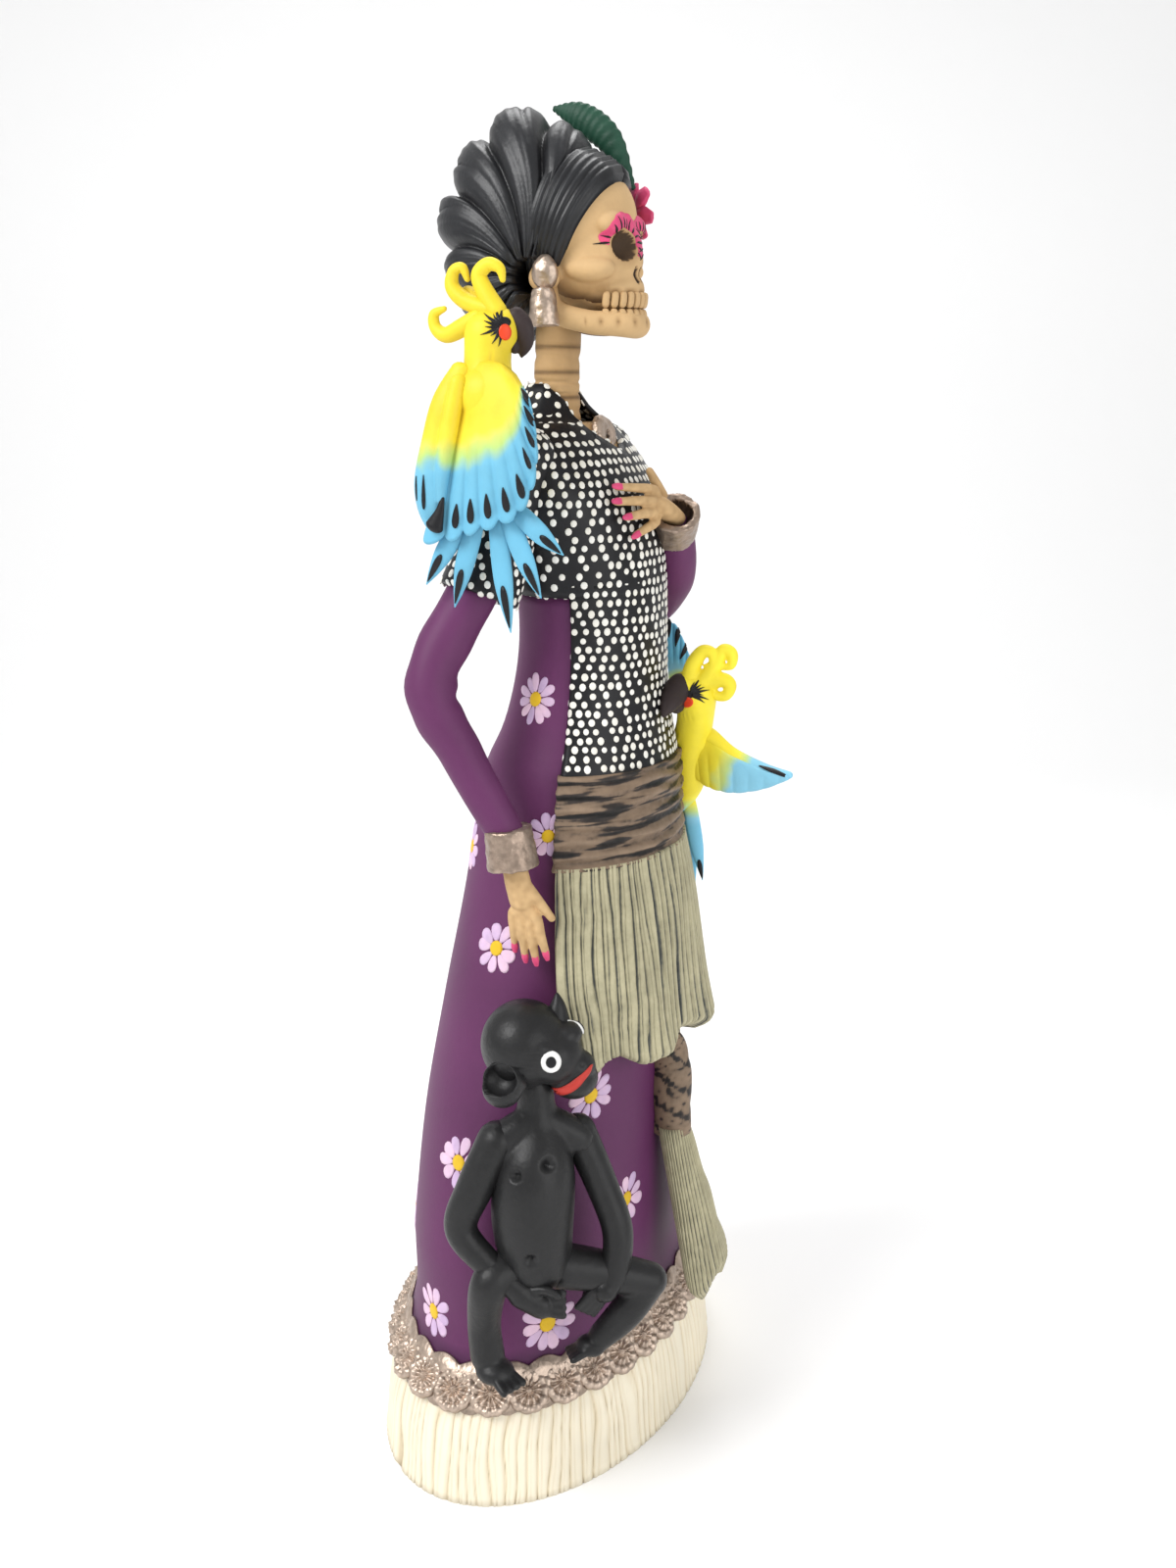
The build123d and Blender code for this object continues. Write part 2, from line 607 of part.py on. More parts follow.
with BuildPart() as monkey_arm_left:
    limb([(-56, -37, 130), (-56, -50, 100), (-60, -50, 84), (-64, -46, 75)],
         [5.6, 5.2, 4.6, 3.6])
    add(monkey_torso.part, mode=Mode.SUBTRACT)
    add(dress_form, mode=Mode.SUBTRACT)
save(monkey_arm_left.part, "monkey_arm_left")

with BuildPart() as monkey_leg_right:
    limb([(-72, -24, 86), (-84, -17, 88), (-82, -14, 60), (-83, -17, 53)], [7.4, 6.8, 5.6, 6.0])
    add(dress_form, mode=Mode.SUBTRACT)
    for piece in (monkey_torso, monkey_arm_right, lace_band, lace_rosettes):
        add(piece.part, mode=Mode.SUBTRACT)
save(monkey_leg_right.part, "monkey_leg_right")

with BuildPart() as monkey_leg_left:
    limb([(-67, -35, 88), (-50, -60, 80), (-58, -48, 62), (-63, -42, 56)], [7.4, 6.4, 5.2, 4.0])
    add(dress_form, mode=Mode.SUBTRACT)
    for piece in (monkey_torso, monkey_arm_left, monkey_leg_right, lace_band, lace_rosettes):
        add(piece.part, mode=Mode.SUBTRACT)
save(monkey_leg_left.part, "monkey_leg_left")
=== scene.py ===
import math
import random

import bmesh
import bpy
import numpy as np
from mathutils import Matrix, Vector, noise
from mathutils.bvhtree import BVHTree


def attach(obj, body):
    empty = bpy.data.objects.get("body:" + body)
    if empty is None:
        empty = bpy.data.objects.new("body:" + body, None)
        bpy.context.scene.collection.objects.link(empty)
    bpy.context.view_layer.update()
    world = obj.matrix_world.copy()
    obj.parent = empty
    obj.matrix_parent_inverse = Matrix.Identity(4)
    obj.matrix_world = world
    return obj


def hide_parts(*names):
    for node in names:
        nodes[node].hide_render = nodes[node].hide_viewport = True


# Painted clay skeleton lady. Lengths in this script are millimetres; pieces are made in metres.
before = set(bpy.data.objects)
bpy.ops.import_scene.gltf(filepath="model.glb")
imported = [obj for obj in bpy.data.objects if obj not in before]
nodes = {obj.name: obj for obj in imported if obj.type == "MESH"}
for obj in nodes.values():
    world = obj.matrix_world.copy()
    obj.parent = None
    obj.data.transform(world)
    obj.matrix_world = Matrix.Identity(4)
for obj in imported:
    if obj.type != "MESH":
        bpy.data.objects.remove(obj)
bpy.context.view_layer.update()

MM = 0.001
SEED = 11
SUNK = 0.35  # depth that paint reaches into the skin under it
ROOT_DEPTH = 0.6  # depth that a relief reaches into the body under it
random.seed(SEED)
noise.seed_set(SEED)


# ---- reading the frame ---------------------------------------------------------------
def coordinates(mesh, kind="co"):
    """Positions or normals of a mesh's points, as rows of three."""
    flat = np.empty(len(mesh.vertices) * 3, np.float32)
    mesh.vertices.foreach_get(kind, flat)
    return flat.reshape(-1, 3).astype(float)


def node_points(node):
    """Corner points of a CAD node, in millimetres."""
    return coordinates(nodes[node].data) / MM


def box_of(*names):
    """Low and high corner of the named nodes together, in millimetres."""
    points = np.concatenate([node_points(name) for name in names])
    return points.min(0), points.max(0)


def middle(*names):
    """Middle of that box."""
    low, high = box_of(*names)
    return (low + high) / 2


# Heights at which the stacked solids have a designed oval.
LEVELS = (0, 35, 44, 80, 120, 160, 200, 225, 243, 256, 268, 285, 303, 320, 338, 350, 357)


def ovals_of(node):
    """Outer oval of a stacked CAD solid at each designed level: z, half width, half depth, centre."""
    points = node_points(node)
    rows = []
    for z in LEVELS:
        ring = points[abs(points[:, 2] - z) < 0.3]
        if len(ring) > 24:
            half_depth = (ring[:, 1].max() - ring[:, 1].min()) / 2
            rows.append((z, abs(ring[:, 0]).max(), half_depth,
                         (ring[:, 1].max() + ring[:, 1].min()) / 2))
    return rows


class Body:
    """Smooth oval body through the levels of the petticoat, dress and chest."""

    def __init__(self):
        rows = ovals_of("petticoat_hem") + ovals_of("dress_body") + ovals_of("chest_core")
        levels = {row[0]: row for row in rows}
        table = np.array([levels[z] for z in sorted(levels)])
        self.z = table[:, 0]
        self.columns = table[:, 1:]
        slope = np.gradient(self.columns, self.z, axis=0)
        slope[0] = (self.columns[1] - self.columns[0]) / (self.z[1] - self.z[0])
        self.slope = slope

    def oval(self, z):
        """Half width, half depth and centre Y at height z."""
        z = min(max(z, self.z[0]), self.z[-1])
        i = min(int(np.searchsorted(self.z, z, side="right")) - 1, len(self.z) - 2)
        step = self.z[i + 1] - self.z[i]
        t = (z - self.z[i]) / step
        a, b = self.columns[i], self.columns[i + 1]
        c, d = self.slope[i] * step, self.slope[i + 1] * step
        return (a * (2 * t ** 3 - 3 * t * t + 1) + c * (t ** 3 - 2 * t * t + t)
                + b * (3 * t * t - 2 * t ** 3) + d * (t ** 3 - t * t))

    def point(self, theta, z, out=0.0):
        """Point on the body; theta 0 is the front and grows towards the left hand."""
        a, b, cy = self.oval(z)
        return np.array([(a + out) * math.sin(theta), cy - (b + out) * math.cos(theta), z])

    def normal(self, theta, z):
        """Outward direction of the body at a point."""
        step = 0.5
        across = self.point(theta + 0.01, z) - self.point(theta - 0.01, z)
        up = self.point(theta, z + step) - self.point(theta, z - step)
        n = np.cross(across, up)
        return n / np.linalg.norm(n)

    def arc(self, z):
        """Angles and the length walked round the oval from the back, for even spacing."""
        a, b, _ = self.oval(z)
        theta = np.linspace(-math.pi, math.pi, 721)
        steps = np.hypot(np.diff(a * np.sin(theta)), np.diff(b * np.cos(theta)))
        return theta, np.concatenate([[0], np.cumsum(steps)])

    def even_angles(self, z, count):
        """Angles of points evenly spaced round the oval."""
        theta, walked = self.arc(z)
        return np.interp(np.arange(count) / count * walked[-1], walked, theta)


body = Body()


# ---- making meshes -------------------------------------------------------------------
def piece(name, skin, material, replaced=(), tint=0.2):
    """A finished piece riding on the one body. skin is points in millimetres and faces; tint, from 0 to 1,
    picks the paint for all points or for each."""
    points, faces = skin
    mesh = bpy.data.meshes.new(name)
    mesh.from_pydata([tuple(float(c) * MM for c in p) for p in points], [], faces)
    mesh.validate()
    mesh.update()
    shape = bmesh.new()
    shape.from_mesh(mesh)
    bmesh.ops.recalc_face_normals(shape, faces=shape.faces)
    shape.to_mesh(mesh)
    shape.free()
    mesh.polygons.foreach_set("use_smooth", [True] * len(mesh.polygons))
    mesh.materials.append(material)
    layer = mesh.attributes.new("tint", "FLOAT", "POINT")
    values = np.zeros(len(mesh.vertices), np.float32)
    given = np.full(len(points), tint) if np.isscalar(tint) else np.array(tint, float)
    count = min(len(values), len(given))
    values[:count] = np.clip(given[:count], 0, 1)
    layer.data.foreach_set("value", values)
    obj = bpy.data.objects.new(name, mesh)
    bpy.context.scene.collection.objects.link(obj)
    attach(obj, "root")
    if replaced:
        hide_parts(*replaced)
    return obj


def grid_faces(rows, columns, wrap, first=0):
    """Quads of a grid of rows by columns points, closed round if wrap."""
    faces = []
    for r in range(rows - 1):
        for c in range(columns if wrap else columns - 1):
            d = (c + 1) % columns
            faces.append((first + r * columns + c, first + r * columns + d,
                          first + (r + 1) * columns + d, first + (r + 1) * columns + c))
    return faces


def closed_skin(rings):
    """Points and faces of a stack of equal rings, capped at both ends."""
    count = len(rings[0])
    points = [p for ring in rings for p in ring]
    faces = grid_faces(len(rings), count, True)
    for start in (0, (len(rings) - 1) * count):
        middle_point = np.mean(points[start:start + count], axis=0)
        points.append(middle_point)
        for c in range(count):
            faces.append((start + c, start + (c + 1) % count, len(points) - 1))
    return points, faces


def slab(outer, inner):
    """Closed slab between two open grids of the same shape (rows of points)."""
    rows, columns = len(outer), len(outer[0])
    points = [p for row in outer for p in row] + [p for row in inner for p in row]
    half = rows * columns
    faces = grid_faces(rows, columns, False) + grid_faces(rows, columns, False, half)
    edge = ([(0, c) for c in range(columns)] + [(r, columns - 1) for r in range(1, rows)]
            + [(rows - 1, c) for c in range(columns - 2, -1, -1)]
            + [(r, 0) for r in range(rows - 2, 0, -1)])
    numbers = [r * columns + c for r, c in edge]
    for a, b in zip(numbers, numbers[1:] + numbers[:1]):
        faces.append((a, b, half + b, half + a))
    return points, faces


def join_meshes(parts):
    """One list of points and faces from several."""
    points, faces = [], []
    for some_points, some_faces in parts:
        shift = len(points)
        points.extend(some_points)
        faces.extend(tuple(i + shift for i in face) for face in some_faces)
    return points, faces


def unit(v):
    v = np.array(v, float)
    return v / (np.linalg.norm(v) + 1e-12)


def facing(normal):
    """Level and upward directions across a surface with this normal."""
    across = unit(np.cross((0, 0, 1), normal))
    return across, np.cross(normal, across)


def turns(count, start=0.0):
    """Angles of a number of even steps round a circle."""
    return np.linspace(start, start + 2 * math.pi, count + 1)[:-1]


def path_through(points, values, steps):
    """Smooth path through points with values carried along; steps per span."""
    points = np.array(points, float)
    values = np.array(values, float).reshape(len(points), -1)
    data = np.hstack([points, values])
    rows = []
    for i in range(len(data) - 1):
        before = data[max(i - 1, 0)]
        after = data[min(i + 2, len(data) - 1)]
        a, b = data[i], data[i + 1]
        for t in np.arange(steps) / steps:
            rows.append(0.5 * (2 * a + (b - before) * t + (2 * before - 5 * a + 4 * b - after) * t * t
                               + (3 * a - before - 3 * b + after) * t ** 3))
    rows.append(data[-1])
    rows = np.array(rows)
    return rows[:, :3], rows[:, 3:]


def frames_along(path, hint=(0, 0, 1)):
    """Side and up directions along a path, without twist."""
    tangents = np.gradient(path, axis=0)
    side = unit(np.cross(tangents[0], hint) if abs(np.dot(unit(tangents[0]), hint)) < 0.95
                else np.cross(tangents[0], (1, 0, 0)))
    out = []
    for t in tangents:
        t = unit(t)
        side = unit(side - t * np.dot(side, t))
        out.append((side, np.cross(t, side), t))
    return out


def tube(points, radii, sides=24, steps=8, flat=1.0, rounded=True, hint=(0, 0, 1), bump=None):
    """Closed skin round a smooth path. bump(u, turn) adds to the radius; u runs 0 to 1."""
    path, radius = path_through(points, radii, steps)
    axes = frames_along(path, hint)
    rings = []
    total = len(path) - 1
    angles = [2 * math.pi * k / sides for k in range(sides)]

    def ring(centre, r, frame_here, u):
        side, up, _ = frame_here
        made = []
        for turn in angles:
            reach = r + (bump(u, turn) if bump else 0.0)
            made.append(centre + side * math.cos(turn) * reach + up * math.sin(turn) * reach * flat)
        return made

    if rounded:
        for k in (0.15, 0.45, 0.75, 0.94):
            back = radius[0, 0] * math.sqrt(1 - k * k) * flat
            rings.append(ring(path[0] - axes[0][2] * back, radius[0, 0] * k, axes[0], 0.0))
    for i, centre in enumerate(path):
        rings.append(ring(centre, radius[i, 0], axes[i], i / total))
    if rounded:
        for k in (0.94, 0.75, 0.45, 0.15):
            ahead = radius[-1, 0] * math.sqrt(1 - k * k) * flat
            rings.append(ring(path[-1] + axes[-1][2] * ahead, radius[-1, 0] * k, axes[-1], 1.0))
    return closed_skin(rings)


def ball(centre, radii, fine=2):
    """Ellipsoid as points and faces."""
    shape = bmesh.new()
    bmesh.ops.create_icosphere(shape, subdivisions=fine + 1, radius=1)
    points = [np.array(v.co) * radii + centre for v in shape.verts]
    faces = [tuple(v.index for v in f.verts) for f in shape.faces]
    shape.free()
    return points, faces


def clay(parts, voxel, smooth=6, shape=None):
    """Melt overlapping closed parts into one skin; returns points and faces in millimetres."""
    points, faces = join_meshes(parts)
    mesh = bpy.data.meshes.new("melt")
    mesh.from_pydata([tuple(float(c) for c in p) for p in points], [], faces)
    mesh.update()
    obj = bpy.data.objects.new("melt", mesh)
    bpy.context.scene.collection.objects.link(obj)
    melt = obj.modifiers.new("melt", "REMESH")
    melt.mode = "VOXEL"
    melt.voxel_size = voxel
    soft = obj.modifiers.new("soft", "SMOOTH")
    soft.factor = 0.5
    soft.iterations = smooth
    graph = bpy.context.evaluated_depsgraph_get()
    made = bpy.data.meshes.new_from_object(obj.evaluated_get(graph))
    out_points = coordinates(made)
    normals = coordinates(made, "normal")
    out_faces = [tuple(p.vertices) for p in made.polygons]
    bpy.data.objects.remove(obj)
    bpy.data.meshes.remove(made)
    if shape:
        out_points = shape(out_points, normals)
    return out_points, out_faces


def press(points, normals, centre, reach, depth, sharp=2.0):
    """Push points near centre inwards by depth, fading out at reach."""
    away = np.linalg.norm((points - np.array(centre)) / np.array(reach), axis=1)
    fade = np.clip(1 - away, 0, 1) ** sharp
    return points - normals * (fade * depth)[:, None]


def wobble(x, y, z=0.0):
    """Smooth random value from -1 to 1 at a place."""
    return noise.noise(Vector((float(x), float(y), float(z))))


# ---- paint ---------------------------------------------------------------------------
def painted(name, ramp, rough=0.6, mottle=0.15, mottle_scale=70.0, grain=0.12, grain_scale=900.0,
            metal=0.0, coat=0.0, tint_noise=0.0, noise_scale=400.0):
    """Brushed paint over clay. The point attribute "tint" picks the colour from the ramp; pieces that raise
    it in grooves and hollows use the ramp's dark end as painted shade.
    """
    material = bpy.data.materials.new(name)
    material.use_nodes = True
    tree = material.node_tree
    tree.nodes.clear()

    def add(kind, **values):
        node = tree.nodes.new(kind)
        for key, value in values.items():
            if key in node.inputs:
                node.inputs[key].default_value = value
            else:
                setattr(node, key, value)
        return node

    link = tree.links.new
    out = add("ShaderNodeOutputMaterial")
    shader = add("ShaderNodeBsdfPrincipled", Metallic=metal)
    shader.inputs["Coat Weight"].default_value = coat
    shader.inputs["Coat Roughness"].default_value = 0.3
    shader.inputs["Specular IOR Level"].default_value = 0.28
    link(shader.outputs[0], out.inputs[0])
    place = add("ShaderNodeTexCoord")
    tint = add("ShaderNodeAttribute", attribute_name="tint")
    speck = add("ShaderNodeTexNoise", Scale=noise_scale, Detail=4.0, Roughness=0.65)
    link(place.outputs["Object"], speck.inputs["Vector"])
    spread = add("ShaderNodeMath", operation="MULTIPLY_ADD")
    spread.inputs[1].default_value = tint_noise
    spread.inputs[2].default_value = -0.5 * tint_noise
    link(speck.outputs["Fac"], spread.inputs[0])
    total = add("ShaderNodeMath", operation="ADD", use_clamp=True)
    link(tint.outputs["Fac"], total.inputs[0])
    link(spread.outputs[0], total.inputs[1])
    colours = add("ShaderNodeValToRGB")
    stops = colours.color_ramp.elements
    while len(stops) < len(ramp):
        stops.new(0.5)
    for stop, (at, rgb) in zip(stops, ramp):
        stop.position = at
        stop.color = (*rgb, 1)
    link(total.outputs[0], colours.inputs[0])
    cloud = add("ShaderNodeTexNoise", Scale=mottle_scale, Detail=6.0, Roughness=0.6)
    link(place.outputs["Object"], cloud.inputs["Vector"])
    range_node = add("ShaderNodeMapRange")
    range_node.inputs["From Min"].default_value = 0.3
    range_node.inputs["From Max"].default_value = 0.7
    range_node.inputs["To Min"].default_value = 1.0 - mottle
    range_node.inputs["To Max"].default_value = 1.0 + mottle * 0.4
    link(cloud.outputs["Fac"], range_node.inputs["Value"])
    shade = add("ShaderNodeVectorMath", operation="MULTIPLY")
    link(colours.outputs[0], shade.inputs[0])
    link(range_node.outputs[0], shade.inputs[1])
    link(shade.outputs[0], shader.inputs["Base Color"])
    gloss = add("ShaderNodeMapRange")
    gloss.inputs["To Min"].default_value = rough - 0.09
    gloss.inputs["To Max"].default_value = rough + 0.09
    link(cloud.outputs["Fac"], gloss.inputs["Value"])
    link(gloss.outputs[0], shader.inputs["Roughness"])
    fine = add("ShaderNodeTexNoise", Scale=grain_scale, Detail=5.0, Roughness=0.6)
    link(place.outputs["Object"], fine.inputs["Vector"])
    bump = add("ShaderNodeBump", Strength=grain, Distance=0.0006)
    link(fine.outputs["Fac"], bump.inputs["Height"])
    link(bump.outputs[0], shader.inputs["Normal"])
    return material


CREAM = painted("cream_paint", [(0.0, (0.86, 0.79, 0.63)), (0.6, (0.76, 0.66, 0.48)),
                                (1.0, (0.52, 0.42, 0.27))],
                rough=0.62, mottle=0.12, mottle_scale=25, tint_noise=0.25)
PURPLE = painted("purple_paint", [(0.0, (0.135, 0.030, 0.110)), (1.0, (0.055, 0.012, 0.050))],
                 rough=0.55, mottle=0.18, mottle_scale=22, grain=0.10, tint_noise=0.15)
BLACK = painted("black_paint", [(0.0, (0.010, 0.010, 0.012)), (1.0, (0.004, 0.004, 0.005))],
                rough=0.42, mottle=0.2, grain=0.12)
DOT_WHITE = painted("dot_paint", [(0.0, (0.88, 0.87, 0.82)), (0.6, (0.80, 0.77, 0.68)),
                                  (1.0, (0.50, 0.43, 0.31))],
                    rough=0.5, mottle=0.1, tint_noise=0.5, noise_scale=90)
BROWN = painted("sash_paint", [(0.0, (0.30, 0.215, 0.145)), (0.45, (0.20, 0.14, 0.095)),
                               (0.62, (0.045, 0.035, 0.03)), (1.0, (0.010, 0.010, 0.010))],
                rough=0.55, mottle=0.25, mottle_scale=120, grain=0.25, tint_noise=0.35)
STRAW = painted("fringe_paint", [(0.0, (0.50, 0.46, 0.30)), (0.35, (0.36, 0.33, 0.21)),
                                 (0.7, (0.085, 0.090, 0.080)), (1.0, (0.022, 0.025, 0.026))],
                rough=0.6, mottle=0.22, mottle_scale=90, grain=0.3, tint_noise=0.5)
PEWTER = painted("pewter_paint", [(0.0, (0.60, 0.48, 0.39)), (0.5, (0.30, 0.225, 0.175)),
                                  (1.0, (0.045, 0.032, 0.025))],
                 rough=0.33, mottle=0.3, mottle_scale=300, grain=0.5, grain_scale=500, metal=0.75,
                 tint_noise=0.3)
PETAL_PINK = painted("petal_paint", [(0.0, (0.80, 0.56, 0.70)), (0.5, (0.62, 0.45, 0.66)),
                                     (1.0, (0.42, 0.30, 0.50))],
                     rough=0.5, mottle=0.12, mottle_scale=150, tint_noise=0.9, noise_scale=160)
YELLOW = painted("centre_paint", [(0.0, (0.80, 0.52, 0.02)), (1.0, (0.70, 0.42, 0.02))],
                 rough=0.5, tint_noise=0.6)


def carved(walked, pitch, phase):
    """Depth, 0 to 1, of hand-cut grooves: narrow lines every pitch, with finer ones between."""
    main = (1 - abs(math.sin(math.pi * (walked / pitch + phase)))) ** 3
    fine = (1 - abs(math.sin(math.pi * (walked / pitch * 2 + 0.3 + phase * 1.7)))) ** 3
    return max(main, 0.45 * fine)


# ---- petticoat and dress -------------------------------------------------------------
HEM_TOP = box_of("petticoat_hem")[1][2]
DRESS_TOP = box_of("dress_body")[1][2]
HEM_WALL = 6.0
DRESS_WALL = 5.0
ROOF = 268.0
HEM_GROOVE_PITCH = 4.2
HEM_GROOVE_DEPTH = 0.75


def ring_piece(name, rings, material, replaced, tint=0.2):
    """Closed ring-shaped piece: rings follow each other round the section."""
    count = len(rings[0])
    points = [p for ring in rings for p in ring]
    faces = grid_faces(len(rings), count, True)
    last = (len(rings) - 1) * count
    for c in range(count):
        d = (c + 1) % count
        faces.append((last + c, last + d, d, c))
    return piece(name, (points, faces), material, replaced, tint)


def petticoat():
    """Carved cream petticoat with upright wavering grooves."""
    columns, levels = 960, 16
    angles = body.even_angles(0, columns)
    length = body.arc(0)[1][-1]
    pitch = length / round(length / HEM_GROOVE_PITCH)
    rings, tint = [], []
    for level in range(levels):
        z = HEM_TOP * level / (levels - 1)
        ring = []
        for k, theta in enumerate(angles):
            x, y, _ = body.point(theta, z)
            phase = 1.5 * wobble(x * 0.09, y * 0.09, 3.0) + 0.25 * wobble(x * 0.1, y * 0.1, z * 0.07)
            cut = carved(length * k / columns, pitch, phase)
            ring.append(body.point(theta, z, -HEM_GROOVE_DEPTH * cut))
            # Painted shade: each groove is darkened by its depth.
            tint.append(cut)
        rings.append(ring)
    for z in (HEM_TOP, HEM_TOP * 0.5, 0):
        rings.append([body.point(theta, z, -HEM_WALL) for theta in angles])
        tint.extend([0.2] * columns)
    ring_piece("petticoat_skin", rings, CREAM, ["petticoat_hem"], tint)


def dress():
    """Smooth purple dress, hollow, closed at the waist."""
    angles = body.even_angles(100, 160)
    rings, tint = [], []
    for z in np.linspace(DRESS_TOP, HEM_TOP, 75):
        ring = []
        for theta in angles:
            sway = 0.25 * wobble(math.sin(theta) * 1.5, math.cos(theta) * 1.5, z * 0.02)
            ring.append(body.point(theta, z, sway))
        rings.append(ring)
        # Painted shade: the dress is darker below 50 mm, next to the lace.
        tint.extend([0.25 + 0.5 * (z < 50)] * len(angles))
    for z in np.linspace(HEM_TOP, ROOF, 24):
        rings.append([body.point(theta, z, -DRESS_WALL) for theta in angles])
        tint.extend([0.6] * len(angles))
    piece("dress_skin", closed_skin(rings), PURPLE, ["dress_body"], tint)


# Painted daisies: angle round the dress in degrees, height, radius, petals.
DAISIES = [(-104, 269, 9.0, 11), (-99, 187, 9.5, 9), (-99, 114, 10, 9), (-109, 58, 10, 9),
           (-54.5, 58, 11, 11), (-22, 92, 10, 9), (-42, 136, 10, 10), (-76, 226, 8, 10),
           (-145, 80, 10, 10), (-160, 150, 9.5, 9), (-140, 215, 9, 10), (180, 265, 8.5, 9),
           (165, 62, 10.5, 10), (130, 105, 10, 9), (150, 185, 9, 10), (115, 165, 9.5, 9),
           (105, 60, 10.5, 10), (100, 235, 8.5, 9), (70, 105, 10, 9), (60, 62, 10, 10),
           (35, 95, 10, 9), (88, 195, 9, 10), (-175, 105, 9, 9)]


def painted_spot(theta, z, outline, rise):
    """Thin raised paint patch on the body. outline is a list of (along, up) offsets round a centre."""
    a, b, _ = body.oval(z)
    across = math.hypot(a * math.cos(theta), b * math.sin(theta))
    count = len(outline)
    mid_x, mid_z = sum(p[0] for p in outline) / count, sum(p[1] for p in outline) / count
    rows = []
    for scale, out in ((1.0, -0.3), (1.0, rise * 0.4), (0.75, rise), (0.3, rise)):
        rows.append([body.point(theta + (mid_x + (dx - mid_x) * scale) / across,
                                z + (mid_z + (dz - mid_z) * scale), out) for dx, dz in outline])
    return closed_skin(rows)


def petal_outline(radius, length, width, turn):
    """Rounded petal that starts clear of the daisy's centre and is widest near its end."""
    start = radius * 0.24
    steps = 14
    outline = []
    for step in range(steps):
        at = 2 * math.pi * step / steps
        along = start + (length - start) * (0.5 - 0.5 * math.cos(at))
        wide = width * 0.5 * math.sin(at) * (0.55 + 0.75 * (along / length) ** 1.3)
        outline.append((along * math.cos(turn) - wide * math.sin(turn),
                        along * math.sin(turn) + wide * math.cos(turn)))
    return outline


def daisies():
    """Pink petals and yellow centres brushed on the dress."""
    petals, centres, tint = [], [], []
    for degrees, z, radius, count in DAISIES:
        theta = math.radians(degrees)
        lean = random.uniform(0, 6.28)
        for k in range(count):
            turn = lean + 2 * math.pi * k / count + random.uniform(-0.07, 0.07)
            length = radius * random.uniform(0.84, 1.0)
            width = radius * 0.40 * random.uniform(0.85, 1.1) * 9.5 / count
            made = painted_spot(theta, z, petal_outline(radius, length, width, turn), 0.22)
            petals.append(made)
            tint.extend([random.uniform(0.0, 0.6)] * len(made[0]))
        ring = [(radius * 0.27 * math.cos(t), radius * 0.27 * math.sin(t)) for t in turns(16)]
        centres.append(painted_spot(theta, z, ring, 0.4))
    piece("daisy_petals", join_meshes(petals), PETAL_PINK, tint=tint)
    piece("daisy_centres", join_meshes(centres), YELLOW, tint=0.3)


# ---- lace ----------------------------------------------------------------------------
ROSETTES = 32
ROSETTE_RADIUS = 7.0
ROSETTE_RIBS = 11
LACE_LOW, LACE_TOP = box_of("lace_band")[0][2], box_of("lace_band")[1][2]
LACE_MIDDLE = (LACE_LOW + LACE_TOP) / 2 - 0.5


def lace_strip():
    """Scalloped band under the rosettes."""
    columns = 560
    angles = body.even_angles(LACE_MIDDLE, columns)
    # Section of the band: share of its height, and how far it stands out.
    section = [(0.0, 0.2), (0.0, 1.0), (0.25, 1.5), (0.5, 1.3), (0.75, 1.5), (1.0, 1.0), (1.0, 0.2),
               (0.5, -0.8)]
    rings = []
    for share, out in section:
        ring = []
        for k, theta in enumerate(angles):
            scallop = abs(math.sin(math.pi * k * ROSETTES / columns))
            low = LACE_LOW - 0.5 + 2.5 * (1 - scallop)
            top = LACE_TOP + 1.5 - 2.0 * (1 - scallop)
            z = low + (top - low) * share
            rough_out = out + 0.5 * wobble(k * 0.8, z * 0.9) if out > 0.5 else out
            ring.append(body.point(theta, z, rough_out))
        rings.append(ring)
    ring_piece("lace_strip", rings, PEWTER, ["lace_band"], 0.12)


def lace_flowers():
    """Ring of pressed rosettes with ribs, two round folds and a raised heart."""
    sides = 54
    shares = (0.9, 0.78, 0.66, 0.54, 0.45, 0.36, 0.26, 0.16, 0.06)
    rows_of_one = [(1.0, -1.6), (1.0, 0.0)] + [(share, 0.0) for share in shares]
    parts, tint = [], []
    for k, theta in enumerate(body.even_angles(LACE_MIDDLE, ROSETTES)):
        n = unit(body.normal(theta, LACE_MIDDLE) + np.array([0, 0, 0.25]))
        centre = body.point(theta, LACE_MIDDLE, 1.5)
        across, up = facing(n)
        radius = ROSETTE_RADIUS * random.uniform(0.96, 1.04)
        spin = random.uniform(0, 1)
        rows = []
        for share, back in rows_of_one:
            row = []
            for s in range(sides):
                turn = 2 * math.pi * s / sides
                rib = math.cos(turn * ROSETTE_RIBS + spin)
                edge = 1 + 0.06 * abs(math.cos(turn * ROSETTE_RIBS / 2 + spin / 2))
                rise = 0.75 * rib * math.sin(math.pi * min(1, share * 1.02)) + 0.55 * math.cos(share * 16)
                rise += 1.5 * math.exp(-(share / 0.16) ** 2)
                rise += 0.35 * wobble(s * 0.7, share * 9, k * 3.7)
                height = back if back else 0.7 + rise
                row.append(centre + (across * math.cos(turn) + up * math.sin(turn)) * radius * edge * share
                           + n * height)
                # Painted highlight and shade: raised ribs and the heart are lighter and low folds darker, by
                # their height.
                tint.append(0.4 if back else 0.08 - 0.30 * rise)
            rows.append(row)
        parts.append(closed_skin(rows))
        tint.extend([0.9, 0.1])
    piece("lace_flowers", join_meshes(parts), PEWTER, ["lace_rosettes"], tint)


# ---- blouse --------------------------------------------------------------------------
CLOTH = 2.5
SHOULDER_TOP = box_of("chest_core")[1][2]
SASH_LOW, SASH_TOP = box_of("waist_sash")[0][2], box_of("waist_sash")[1][2]
NECKLINE_DEPTH = 9.0
COLLAR_RISE = 12.0
COLLAR_REACH = 10.8
COLLAR_THICK = 1.9
DOT_GAP = 2.95
DARTS = 110000
ROW_WIDTH = 0.08  # part of the gap, each side of a row, in which a dart counts as on it
COVER = 5.0  # clear height that a dot needs above it


